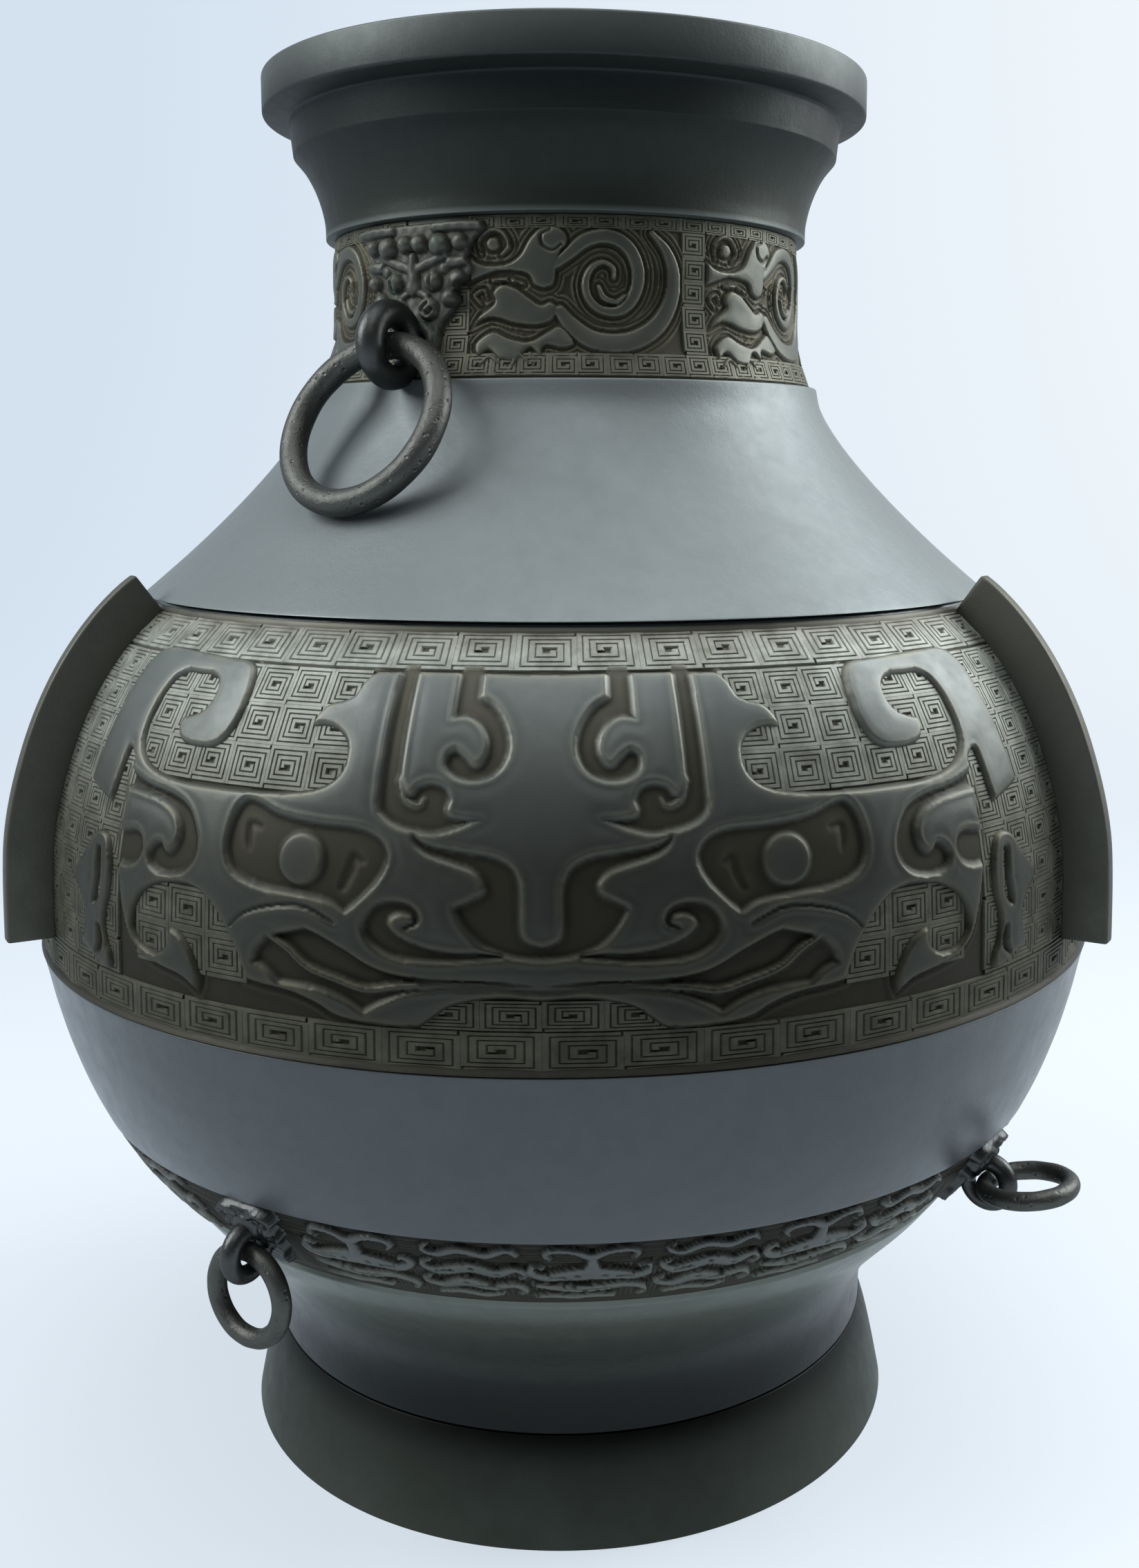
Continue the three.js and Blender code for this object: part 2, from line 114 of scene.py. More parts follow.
class Zone:
    """A smooth stretch of the profile, from its top to its foot."""

    def __init__(self, points):
        z, r = points[::-1, 1], points[::-1, 0]
        run = np.diff(z)
        slope = np.diff(r) / run
        bend = np.concatenate([slope[:1], (slope[1:] + slope[:-1]) / 2, slope[-1:]])
        turn = np.concatenate([[1], slope[1:] * slope[:-1], [1]])
        limit = 3 * np.minimum(np.abs(np.append(slope, slope[-1])), np.abs(np.append(slope[0], slope)))
        self.z, self.r = z, r
        self.bend = np.where(turn <= 0, 0, np.clip(bend, -limit, limit))
        self.top, self.foot = z[-1], z[0]
        heights = np.linspace(self.top, self.foot, PROFILE_STEPS)
        radii = self.radius(heights)
        self.arc = np.concatenate([[0], np.cumsum(np.hypot(np.diff(heights), np.diff(radii)))])
        self.heights, self.length = heights, self.arc[-1]

    def radius(self, z):
        """Radius at a height, on the smooth curve through the corners."""
        i = np.clip(np.searchsorted(self.z, z) - 1, 0, len(self.z) - 2)
        span = self.z[i + 1] - self.z[i]
        t = np.clip((z - self.z[i]) / span, 0, 1)
        return (
            (2 * t**3 - 3 * t**2 + 1) * self.r[i]
            + (t**3 - 2 * t**2 + t) * span * self.bend[i]
            + (3 * t**2 - 2 * t**3) * self.r[i + 1]
            + (t**3 - t**2) * span * self.bend[i + 1]
        )

    def along(self, z):
        """Distance along the skin from the zone's top to the height z."""
        return np.interp(-np.asarray(z, float), -self.heights, self.arc)

    def place(self, s, lift=0.0):
        """Radius and height at a distance along the skin, lifted square to it."""
        z = np.interp(s, self.arc, self.heights)
        slope = (self.radius(z + 0.5) - self.radius(z - 0.5)) / np.clip(
            np.minimum(z + 0.5, self.top) - np.maximum(z - 0.5, self.foot), 0.4, 1
        )
        tilt = 1 / np.hypot(1, slope)
        return self.radius(z) + lift * tilt, z - lift * slope * tilt


rim, skin = corners[:3], corners[3:]
parts = np.split(skin, np.nonzero(-np.diff(skin[:, 1]) < STEP)[0] + 1)
flare, neck, shoulder, main, low, taper, skirt = [part for part in parts if len(part) > 2]
main[0, 0] = shoulder[-1, 0] - SHOULDER_LIP
main[-1, 0] = low[0, 0] + MAIN_FOOT_LIP
zones = [Zone(part) for part in (flare, neck, shoulder, main, low, taper, skirt)]
neck_flare, neck_zone, shoulder_zone, main_zone, low_zone, taper_zone, skirt_zone = zones
print("rim and collar:", rim.tolist())
print("zones:", [(round(z.top, 1), round(z.foot, 1), round(z.length, 1)) for z in zones])

# %% [markdown]
# ## From numbers to meshes
# Every piece ends as a plain mesh at the origin, in metres, with quads that face outwards. A sheet of
# points, rows by columns, covers turned and modelled surfaces alike, so one helper joins such sheets.

# %% Meshes from sheets of points
def sheet_faces(rows, columns, start=0, closed=False):
    """Quads of a sheet of rows by columns, facing out when rows run down and columns run to the right."""
    grid = np.arange(rows * columns).reshape(rows, columns) + start
    if closed:
        grid = np.column_stack([grid, grid[:, 0]])
    return np.stack([grid[:-1, :-1], grid[1:, :-1], grid[1:, 1:], grid[:-1, 1:]], axis=-1).reshape(-1, 4)


def make_piece(name, points, faces, material, values=None, smooth_below=None):
    """A mesh object from points in millimetres. Values are numbers per point, kept under their names."""
    mesh = bpy.data.meshes.new(name)
    mesh.from_pydata((np.asarray(points) * MM).tolist(), [], [list(face) for face in faces])
    for title, numbers in (values or {}).items():
        layer = mesh.attributes.new(title, "FLOAT", "POINT")
        layer.data.foreach_set("value", np.asarray(numbers, np.float32).ravel())
    mesh.polygons.foreach_set("use_smooth", np.ones(len(mesh.polygons), bool))
    if smooth_below:
        mesh.set_sharp_from_angle(angle=math.radians(smooth_below))
    mesh.materials.append(material)
    piece = bpy.data.objects.new(name, mesh)
    bpy.context.scene.collection.objects.link(piece)
    return piece


def round_about(radius, z, azimuth):
    """Points at radius and height, where azimuth 0 is the front, -Y, and grows towards +X."""
    radius, z, azimuth = np.broadcast_arrays(radius, z, azimuth)
    return np.stack([radius * np.sin(azimuth), -radius * np.cos(azimuth), z], axis=-1)


# %% Turned pieces
TURN_COLUMNS = 240
TURNED_ANGLE = 35
SAME_POINT = 0.01
STRAIGHT = 0.03


def rounded(outline, radius, steps=4):
    """An outline of radius and height with its corners rounded off, by a third of a side at most."""
    outline = np.asarray(outline, float)
    outline = outline[np.hypot(*(outline - np.roll(outline, 1, axis=0)).T) > SAME_POINT]
    before, after = np.roll(outline, 1, axis=0), np.roll(outline, -1, axis=0)
    out = []
    for corner, left, right in zip(outline, before, after):
        a, b = left - corner, right - corner
        la, lb = np.hypot(*a), np.hypot(*b)
        cut = min(radius, la / 3, lb / 3)
        if abs(a @ b / (la * lb) + 1) < STRAIGHT:
            out.append(corner)
            continue
        p, q = corner + a / la * cut, corner + b / lb * cut
        for t in np.linspace(0, 1, steps + 1):
            out.append((1 - t) ** 2 * p + 2 * t * (1 - t) * corner + t**2 * q)
    return np.array(out)


def turned(name, outline, material):
    """A closed solid of revolution. Its outline runs down the outside and back up the inside."""
    outline = np.asarray(outline, float)
    closed = np.vstack([outline, outline[:1]])
    azimuth = np.arange(TURN_COLUMNS) / TURN_COLUMNS * 2 * math.pi
    points = round_about(closed[:, :1], closed[:, 1:], azimuth).reshape(-1, 3)
    faces = sheet_faces(len(closed), TURN_COLUMNS, closed=True)
    last = (len(closed) - 1) * TURN_COLUMNS
    faces = np.where(faces >= last, faces - last, faces)
    return make_piece(name, points[:last], faces, material, smooth_below=TURNED_ANGLE)


# %% [markdown]
# ## Drawing relief
# The founder's pattern maker draws a motif, cuts it into the mould and the bronze takes it as relief. Here
# a motif is drawn flat, as closed outlines or as strokes with a changing width, in millimetres of arc and
# height. The distance of each point of a sheet to the motif's edge then gives its height, with a slope of
# one even width, as a chasing tool leaves. Displacing by a picture would blur these edges.

# %% Smooth lines through a few points
def smooth_line(points, closed=True, pieces=5):
    """A smooth line through points. A point that is given twice is a corner."""
    points = np.array(points, float)
    count = len(points)
    line = []
    for i in range(count if closed else count - 1):
        a, b = points[i], points[(i + 1) % count]
        length = np.hypot(*(b - a)[:2])
        if length < 1e-6:
            continue
        before = points[i - 1] if closed or i else a
        after = points[(i + 2) % count] if closed or i + 2 < count else b
        ta = (b - before) * length / (length + np.hypot(*(a - before)[:2]))
        tb = (after - a) * length / (length + np.hypot(*(after - b)[:2]))
        t = np.linspace(0, 1, pieces, endpoint=False)[:, None]
        line.append(
            (2 * t**3 - 3 * t**2 + 1) * a + (t**3 - 2 * t**2 + t) * ta
            + (3 * t**2 - 2 * t**3) * b + (t**3 - t**2) * tb
        )
    if not closed:
        line.append(points[-1:])
    return np.vstack(line)


# %% Distance to a motif's edge
REACH = 4.0


class Field:
    """Signed distances over a sheet with even columns u and rows s: positive inside the motif."""

    def __init__(self, u, s, along):
        self.u, self.s, self.along = u, s, along

    def _lengths(self, line):
        """The line with its heights turned into lengths along the skin."""
        flat = np.array(line, float)
        flat[:, 1] = self.along(flat[:, 1])
        return flat

    def _patch(self, a, b, reach):
        """The part of the sheet near the stretch from a to b, its distances and places along it."""
        lo, hi = np.minimum(a, b)[:2] - reach, np.maximum(a, b)[:2] + reach
        i0, i1 = np.searchsorted(self.s, [lo[1], hi[1]])
        j0, j1 = np.searchsorted(self.u, [lo[0], hi[0]])
        x, y = self.u[None, j0:j1] - a[0], self.s[i0:i1, None] - a[1]
        run = (b - a)[:2]
        t = np.clip((x * run[0] + y * run[1]) / max(run @ run, 1e-12), 0, 1)
        return (slice(i0, i1), slice(j0, j1)), np.hypot(x - t * run[0], y - t * run[1]), t

    def outline(self, points):
        """Distance to a closed outline."""
        line = self._lengths(smooth_line(points))
        near = np.full((len(self.s), len(self.u)), REACH)
        inside = np.zeros(near.shape, bool)
        for a, b in zip(line, np.roll(line, -1, axis=0)):
            place, distance, _ = self._patch(a, b, REACH)
            near[place] = np.minimum(near[place], distance)
            low, high = sorted([a[1], b[1]])
            for i in range(*np.searchsorted(self.s, [low, high])):
                cross = a[0] + (b[0] - a[0]) * (self.s[i] - a[1]) / (b[1] - a[1])
                inside[i, np.searchsorted(self.u, cross):] ^= True
        return np.where(inside, near, -near)

    def stroke(self, points):
        """Distance to the edge of a stroke through points of arc, height and half width."""
        line = self._lengths(smooth_line(points, closed=False))
        best = np.full((len(self.s), len(self.u)), -REACH)
        for a, b in zip(line[:-1], line[1:]):
            place, distance, t = self._patch(a, b, REACH + max(a[2], b[2]))
            best[place] = np.maximum(best[place], a[2] + (b[2] - a[2]) * t - distance)
        return best

    def disc(self, u, z, radius):
        """Distance to the edge of a round spot."""
        s = self.along(z)
        return np.maximum(radius - np.hypot(self.u[None, :] - u, self.s[:, None] - s), -REACH)


def union(*fields):
    """Distance to the edge of several motifs as one."""
    return np.maximum.reduce(fields)


def slope_up(distance, width):
    """0 at a motif's edge and 1 from a width inside it, eased at both ends."""
    t = np.clip(distance / width, 0, 1)
    return t * t * (3 - 2 * t)


# %% Domes, and lines that follow an edge
def dome(distance, radius, high):
    """A round bump from the distance inside its edge."""
    t = np.clip(distance / radius, 0, 1)
    return high * np.sqrt(1 - (1 - t) ** 2)


RIDGE_SHARPNESS = 1.3


def following(distance, first, pitch, count):
    """Rounded ridges outside an edge, the first one at a distance from it, 0 to 1 high."""
    wave = 0.5 + 0.5 * np.cos((-distance - first) / pitch * 2 * math.pi)
    inside = (-distance > first - pitch / 2) & (-distance < first + (count - 0.5) * pitch)
    return np.where(inside, wave**RIDGE_SHARPNESS, 0)


# %% A relief is a closed shell
def blurred(height, reach):
    """Mean over a square of neighbours, for telling crests from hollows."""
    for axis in (0, 1):
        padded = np.pad(height, [(reach + 1, reach) if a == axis else (0, 0) for a in (0, 1)], mode="edge")
        total = np.cumsum(padded, axis=axis)
        count = 2 * reach + 1
        ahead = [slice(count, None) if a == axis else slice(None) for a in (0, 1)]
        behind = [slice(0, -count) if a == axis else slice(None) for a in (0, 1)]
        height = (total[tuple(ahead)] - total[tuple(behind)]) / count
    return height


def snapped(u, s, edges, cell):
    """Moves the sheet's points onto the edges that pass close to them, so that edges come out clean."""
    uu, ss = np.meshgrid(u, s)
    move = np.full(uu.shape, 0.5 * cell)
    du, ds = np.zeros_like(uu), np.zeros_like(ss)
    for distance, level in edges:
        gs, gu = np.gradient(distance, s, u)
        steep = np.maximum(gu**2 + gs**2, 0.3)
        off = level - distance
        nearer = (np.abs(off) < np.abs(move)) & (np.abs(distance) < REACH - 0.5)
        du = np.where(nearer, off * gu / steep, du)
        ds = np.where(nearer, off * gs / steep, ds)
        move = np.where(nearer, off, move)
    for d in (du, ds):
        d[[0, -1]] = 0
        d[:, [0, -1]] = 0
    return uu + du, ss + ds


BACK_SKIP = 8
CREST_REACH, CREST_HEIGHT = 3, 0.5
SHELL_ANGLE = 78


def relief_shell(name, zone, reference, centre, field, height, edges, back, material, mirrored=False):
    """A relief over a zone's skin as a closed shell. Heights and the back's depth are from the skin."""
    uu, ss = snapped(field.u, field.s, edges, field.u[1] - field.u[0])
    side = -1 if mirrored else 1
    azimuth = math.radians(centre) + side * uu / reference
    front = round_about(*zone.place(ss, height), azimuth)
    rows, columns = height.shape
    kept = np.unique(np.append(np.arange(0, rows, BACK_SKIP), rows - 1))
    behind = round_about(*zone.place(ss[kept], back), azimuth[kept])
    if mirrored:
        front, behind, height = front[:, ::-1], behind[:, ::-1], height[:, ::-1]
    f = np.arange(rows * columns).reshape(rows, columns)
    b = np.arange(len(kept) * columns).reshape(len(kept), columns) + rows * columns
    faces = sheet_faces(rows, columns).tolist()
    faces += sheet_faces(len(kept), columns, start=rows * columns)[:, ::-1].tolist()
    faces += np.column_stack([f[0, :-1], f[0, 1:], b[0, 1:], b[0, :-1]]).tolist()
    faces += np.column_stack([f[-1, 1:], f[-1, :-1], b[-1, :-1], b[-1, 1:]]).tolist()
    for k in range(len(kept) - 1):
        rise = np.arange(kept[k], kept[k + 1] + 1)
        faces.append([*f[rise[::-1], 0].tolist(), int(b[k, 0]), int(b[k + 1, 0])])
        faces.append([*f[rise, -1].tolist(), int(b[k + 1, -1]), int(b[k, -1])])
    # Crest and hollow drive the finish: paler crests, partly rubbed wear and partly a painted highlight, and
    # darker hollows, partly dust and partly painted shade.
    lift = height - blurred(height, CREST_REACH)
    level = (height - height.min()) / (height.max() - height.min())
    pad = np.zeros(b.size)
    values = {
        "level": np.append(level, pad),
        "crest": np.append(np.clip(lift / CREST_HEIGHT, 0, 1), pad),
        "hollow": np.append(np.clip(-lift / CREST_HEIGHT, 0, 1), pad),
    }
    points = np.vstack([front.reshape(-1, 3), behind.reshape(-1, 3)])
    return make_piece(name, points, faces, material, values, smooth_below=SHELL_ANGLE)


# %% [markdown]
# ## Bronze finishes
# Old bronze isn't one colour. The skin of a waxed, patinated casting is a blue-grey with clouds in it. The
# crests are paler, partly rubbed wear and partly a painted highlight; the low ground is darker and rougher;
# and the hollows are darker still, partly dust and partly painted shade. The relief shells carry three
# numbers per point for this: the level between ground and highest face, the crests and the hollows. The
# other shades come from noise and height in Object coordinates, so the pattern stays on the piece; the
# shade by height is partly patina and partly painted light and shade.

# %% Node helpers
def node(tree, kind, settings=None, **inputs):
    """A node with its settings and inputs. An input that is a socket is linked, and else it is set."""
    made = tree.nodes.new(kind)
    for key, value in (settings or {}).items():
        setattr(made, key, value)
    for key, value in inputs.items():
        socket = made.inputs[key.replace("_", " ")]
        if isinstance(value, bpy.types.NodeSocket):
            tree.links.new(value, socket)
        else:
            socket.default_value = value
    return made


def mixed(tree, factor, a, b, blend="MIX"):
    """Two colours mixed by a factor."""
    made = tree.nodes.new("ShaderNodeMix")
    made.data_type = "RGBA"
    made.blend_type = blend
    for socket, value in ((made.inputs[0], factor), (made.inputs[6], a), (made.inputs[7], b)):
        if isinstance(value, bpy.types.NodeSocket):
            tree.links.new(value, socket)
        elif isinstance(value, tuple):
            socket.default_value = (*value, 1)
        else:
            socket.default_value = value
    return made.outputs[2]


def noise(tree, place, scale, detail=3.0, roughness=0.55):
    """Cloudy noise from 0 to 1, with features about one over the scale in metres."""
    made = node(tree, "ShaderNodeTexNoise", Vector=place, Scale=scale, Detail=detail, Roughness=roughness)
    return made.outputs["Fac"]


def ranged(tree, value, low, high, to_low, to_high):
    """A value mapped from one range to another and held within it."""
    made = node(
        tree, "ShaderNodeMapRange", Value=value, From_Min=low, From_Max=high, To_Min=to_low, To_Max=to_high
    )
    return made.outputs[0]


def maths(tree, what, a, b):
    """Two numbers put through one sum, product or the like."""
    made = tree.nodes.new("ShaderNodeMath")
    made.operation = what
    for socket, value in ((made.inputs[0], a), (made.inputs[1], b)):
        if isinstance(value, bpy.types.NodeSocket):
            tree.links.new(value, socket)
        else:
            socket.default_value = value
    return made.outputs[0]


def attribute(tree, name):
    """A number that the piece carries at each point."""
    return node(tree, "ShaderNodeAttribute", {"attribute_name": name}).outputs["Fac"]


# %% Patina and painted light and shade from the foot to the rim
# Height in metres and the share of each colour that is left there, brightened where it is above 1. The
# shares are partly patina and partly painted light and shade: the top of the main band, the shoulder and a
# band on the taper are painted brighter, and the crease above the foot, the turn under the belly and the
# neck under the rim are painted darker, where shade falls.
PATINA_AND_LIGHT_BY_HEIGHT = (
    (0.000, (0.38, 0.4, 0.34)), (0.020, (0.22, 0.235, 0.2)), (0.029, (0.02, 0.025, 0.02)),
    (0.044, (0.05, 0.055, 0.047)), (0.056, (0.36, 0.38, 0.31)), (0.070, (0.76, 0.78, 0.62)),
    (0.081, (0.8, 0.82, 0.68)), (0.109, (0.52, 0.52, 0.53)), (0.153, (0.44, 0.44, 0.45)),
    (0.156, (0.3, 0.3, 0.26)), (0.200, (0.46, 0.47, 0.44)), (0.245, (1.2, 1.28, 1.33)),
    (0.250, (0.95, 0.96, 0.94)), (0.310, (0.95, 0.96, 0.94)), (0.313, (0.8, 0.82, 0.76)),
    (0.354, (0.8, 0.82, 0.76)), (0.356, (0.17, 0.18, 0.15)), (0.386, (0.12, 0.13, 0.127)),
    (0.400, (0.55, 0.56, 0.52)),
)


def with_patina_and_light(tree, place, colour):
    """A colour times the share of its height, partly patina and partly painted light and shade."""
    apart = node(tree, "ShaderNodeSeparateXYZ", Vector=place)
    ramp = node(tree, "ShaderNodeValToRGB")
    stops = ramp.color_ramp.elements
    top = PATINA_AND_LIGHT_BY_HEIGHT[-1][0]
    stops[0].color, stops[1].color = (*PATINA_AND_LIGHT_BY_HEIGHT[0][1], 1), (*PATINA_AND_LIGHT_BY_HEIGHT[-1][1], 1)
    for z, tone in PATINA_AND_LIGHT_BY_HEIGHT[1:-1]:
        stops.new(z / top).color = (*tone, 1)
    tree.links.new(ranged(tree, apart.outputs["Z"], 0, top, 0, 1), ramp.inputs["Fac"])
    return mixed(tree, 1.0, colour, ramp.outputs["Color"], "MULTIPLY")


# %% One bronze with many settings
DEEPER = 0.6
VERDIGRIS = (0.075, 0.13, 0.1)
SPECULAR_LEVEL = 0.3
BUMP_DEPTH = 0.0006


def bronze(name, skin, cloud, low=None, rub_and_highlight=None, dust_and_shade=None, rough=(0.38, 0.5), metal=0.45, grain=0.1,
           pits=0.0, verdigris=0.0, height_patina_and_light=True, clouds=0.5, sheen=0.4):
    """A patinated bronze: skin and cloud colours, the low ground's, the crests' and the hollows'.

    The crests' colour is partly rubbed wear and partly a painted highlight, and the hollows' partly dust and
    partly painted shade. The shares by height are partly patina and partly painted light and shade.

    The sheen is how strongly its waxed skin reflects at a low angle, a little bluer than the light.
    """
    material = bpy.data.materials.new(name)
    material.use_nodes = True
    tree = material.node_tree
    shader = tree.nodes["Principled BSDF"]
    place = node(tree, "ShaderNodeTexCoord").outputs["Object"]
    broad = noise(tree, place, 22, 4)
    mottle = noise(tree, place, 160, 5, 0.65)
    fine = noise(tree, place, 1400, 4, 0.7)
    colour = mixed(tree, ranged(tree, broad, 0.3, 0.75, 0, clouds), skin, cloud)
    deep_skin = tuple(DEEPER * c for c in skin)
    colour = mixed(tree, ranged(tree, mottle, 0.35, 0.75, 0, DEEPER * clouds), colour, deep_skin)
    roughness = maths(tree, "ADD", ranged(tree, mottle, 0.3, 0.7, *rough),
                      ranged(tree, broad, 0.3, 0.7, -0.015, 0.015))
    if low:
        level = attribute(tree, "level")
        ground = ranged(tree, level, 0.25, 0.8, 1, 0)
        colour = mixed(tree, ground, colour, low)
        roughness = maths(tree, "ADD", roughness, ranged(tree, level, 0.25, 0.8, 0.14, 0))
        # The hollows take a darker colour: partly dust, partly painted shade.
        hollow = maths(tree, "MULTIPLY", attribute(tree, "hollow"), ranged(tree, mottle, 0.2, 0.6, 0.6, 1))
        colour = mixed(tree, hollow, colour, dust_and_shade)
        # The crests take a paler colour: partly rubbed wear, partly a painted highlight.
        worn = ranged(tree, mottle, 0.35, 0.65, 0.15, 0.75)
        crest = maths(tree, "MULTIPLY", attribute(tree, "crest"), worn)
        colour = mixed(tree, crest, colour, rub_and_highlight)
    if verdigris:
        patch = ranged(tree, noise(tree, place, 110, 6, 0.7), 0.56, 0.7, 0, verdigris)
        colour = mixed(tree, patch, colour, VERDIGRIS)
    # The colour is scaled by height: partly patina, partly painted light and shade.
    if height_patina_and_light:
        colour = with_patina_and_light(tree, place, colour)
    tree.links.new(colour, shader.inputs["Base Color"])
    tree.links.new(roughness, shader.inputs["Roughness"])
    shader.inputs["Metallic"].default_value = metal
    shader.inputs["Specular IOR Level"].default_value = SPECULAR_LEVEL
    shader.inputs["Specular Tint"].default_value = (sheen, 1.06 * sheen, 1.1 * sheen, 1)
    relief = maths(tree, "ADD", maths(tree, "MULTIPLY", fine, 0.35), maths(tree, "MULTIPLY", mottle, 1.0))
    if pits:
        spots = node(tree, "ShaderNodeTexVoronoi", Vector=place, Scale=420.0).outputs["Distance"]
        relief = maths(tree, "ADD", relief, ranged(tree, spots, 0.0, 0.25, -pits, 0))
    bump = node(tree, "ShaderNodeBump", Strength=grain, Distance=BUMP_DEPTH, Height=relief)
    tree.links.new(bump.outputs["Normal"], shader.inputs["Normal"])
    return material


# %% The finishes of this vase
BLUE_GREY = (0.2, 0.228, 0.24)
GREY_GREEN = (0.15, 0.168, 0.162)
OLIVE = (0.105, 0.1, 0.076)
# The hollows' colour is partly dust and partly painted shade; the crests' colours are partly rubbed wear and
# partly a painted highlight.
DUST_AND_SHADE = (0.03, 0.027, 0.019)
RUBBED_AND_HIGHLIT = (0.22, 0.205, 0.15)
WORN_AND_HIGHLIT_RIDGE = (0.34, 0.345, 0.305)
BROWN_GREY = (0.12, 0.128, 0.122)
BROWN_BLACK = (0.08, 0.084, 0.074)
DARK = (0.075, 0.08, 0.072)

shoulder_bronze = bronze("waxed bronze skin", BLUE_GREY, GREY_GREEN, rough=(0.42, 0.5), metal=0.4,
                         grain=0.22, clouds=0.3, sheen=0.22)
belly_bronze = bronze("satin belly bronze", BLUE_GREY, GREY_GREEN, rough=(0.3, 0.38), grain=0.18,
                      clouds=0.4, sheen=0.9)
relief_bronze = bronze("cast relief bronze", BROWN_GREY, BROWN_BLACK, (0.07, 0.066, 0.051), RUBBED_AND_HIGHLIT, DUST_AND_SHADE,
                       rough=(0.34, 0.48))
lower_bronze = bronze("lower band bronze", (0.2, 0.22, 0.232), GREY_GREEN, (0.045, 0.043, 0.034),
                      (0.26, 0.265, 0.25), (0.02, 0.019, 0.014), rough=(0.3, 0.42))
ridge_bronze = bronze("square spiral ridges", OLIVE, GREY_GREEN, OLIVE, WORN_AND_HIGHLIT_RIDGE, (0.075, 0.07, 0.056),
                      rough=(0.5, 0.62))
neck_ridge_bronze = bronze("neck spiral ridges", OLIVE, GREY_GREEN, OLIVE, (0.19, 0.19, 0.16),
                           (0.05, 0.047, 0.037), rough=(0.45, 0.6))
flange_bronze = bronze("flange bronze", (0.11, 0.115, 0.096), DARK, rough=(0.4, 0.55), grain=0.2,
                       height_patina_and_light=False, sheen=0.15)
foot_bronze = bronze("dark foot bronze", GREY_GREEN, DARK, rough=(0.38, 0.48), sheen=0.5)
mask_bronze = bronze("mask bronze", (0.09, 0.096, 0.088), (0.06, 0.064, 0.057), DARK, (0.12, 0.12, 0.1),
                     DUST_AND_SHADE, rough=(0.38, 0.55), grain=0.25, pits=0.4, verdigris=0.35, height_patina_and_light=False)
ring_bronze = bronze("handled ring bronze", (0.095, 0.1, 0.093), (0.045, 0.048, 0.043), rough=(0.28, 0.5),
                     metal=0.65, grain=0.7, pits=0.7, height_patina_and_light=False)
loop_bronze = bronze("dark loop bronze", (0.075, 0.08, 0.08), (0.05, 0.053, 0.05), rough=(0.26, 0.42),
                     metal=0.7, grain=0.35, pits=0.3, height_patina_and_light=False)

# %% [markdown]
# ## The three castings of the vessel
# The plain surfaces of the neck section, the belly and the foot ring are turned: a founder sweeps them
# with a board round the axis. Under a relief band the wall is set back, and the relief is laid into it.
# Each casting is one closed solid with a 4 mm wall, and its edges are slightly rounded, as wax edges are.

# %% Measures of the wall and the bands
# A floor is where the casting is set back under a band, and a back is how deep the band's relief reaches.
WALL = 4.0
MAIN_FLOOR, MAIN_BACK = -2.9, -3.2
NECK_FLOOR, NECK_BACK = -2.0, -2.3
LOWER_FLOOR, LOWER_BACK = -2.0, -2.3
LOWER_BAND_TOP_Z = 107.9
EDGE = 0.8
lower_band_start = float(low_zone.along(LOWER_BAND_TOP_Z))


def skin_run(zone, start=0.0, end=None, lift=0.0, count=40):
    """Points of a zone's outside, as radius and height, from the top down."""
    s = np.linspace(start, zone.length if end is None else end, count)
    return np.column_stack(zone.place(s, lift))


def inside_run(zone_list, low, high, count=60):
    """Points of the inside wall, from low to high."""
    wall = np.vstack([skin_run(zone, lift=-WALL) for zone in zone_list])[::-1]
    wall = wall[np.argsort(wall[:, 1], kind="stable")]
    z = np.linspace(low, high, count)
    return np.column_stack([np.interp(z, wall[:, 1], wall[:, 0]), z])


# %% The rim's own corners, the mouth and the spigot
(rim_radius, rim_top), (_, rim_foot), (collar_radius, collar_top) = rim
neck_corners = node_points("neck_section").reshape(-1, 3)
neck_radii = np.hypot(neck_corners[:, 0], neck_corners[:, 1])
mouth_radius = neck_radii[neck_corners[:, 2] > rim_top - SAME_CORNER].min()
spigot_radius = outer_corners("neck_section", 0, belly_top)[0, 0]
spigot_foot = neck_corners[:, 2].min()
SPIGOT_WALL = 3.5
print("mouth", round(mouth_radius, 2), "spigot", spigot_radius, round(spigot_foot, 2))

# %% Neck section
neck_outline = np.vstack([
    [(rim_radius, rim_top), (rim_radius, rim_foot), (collar_radius, collar_top)],
    skin_run(neck_flare),
    skin_run(neck_zone, lift=NECK_FLOOR),
    skin_run(shoulder_zone),
    [(spigot_radius, shoulder_zone.foot), (spigot_radius, spigot_foot),
     (spigot_radius - SPIGOT_WALL, spigot_foot)],
    inside_run([neck_flare, neck_zone, shoulder_zone], shoulder_zone.foot + WALL, neck_flare.top - WALL),
    [(collar_radius - WALL, collar_top), (mouth_radius, rim_top)],
])
neck_casting = turned("neck_casting", rounded(neck_outline, EDGE), shoulder_bronze)

# %% Belly
SET_BACK_RUN = 0.02
belly_outline = np.vstack([
    skin_run(main_zone, lift=MAIN_FLOOR, count=60),
    skin_run(low_zone, end=lower_band_start, count=50),
    skin_run(low_zone, start=lower_band_start + SET_BACK_RUN, lift=LOWER_FLOOR, count=30),
    skin_run(taper_zone, count=50),
    inside_run([main_zone, low_zone, taper_zone], taper_zone.foot, main_zone.top, count=90),
])
belly_casting = turned("belly_casting", rounded(belly_outline, EDGE), belly_bronze)

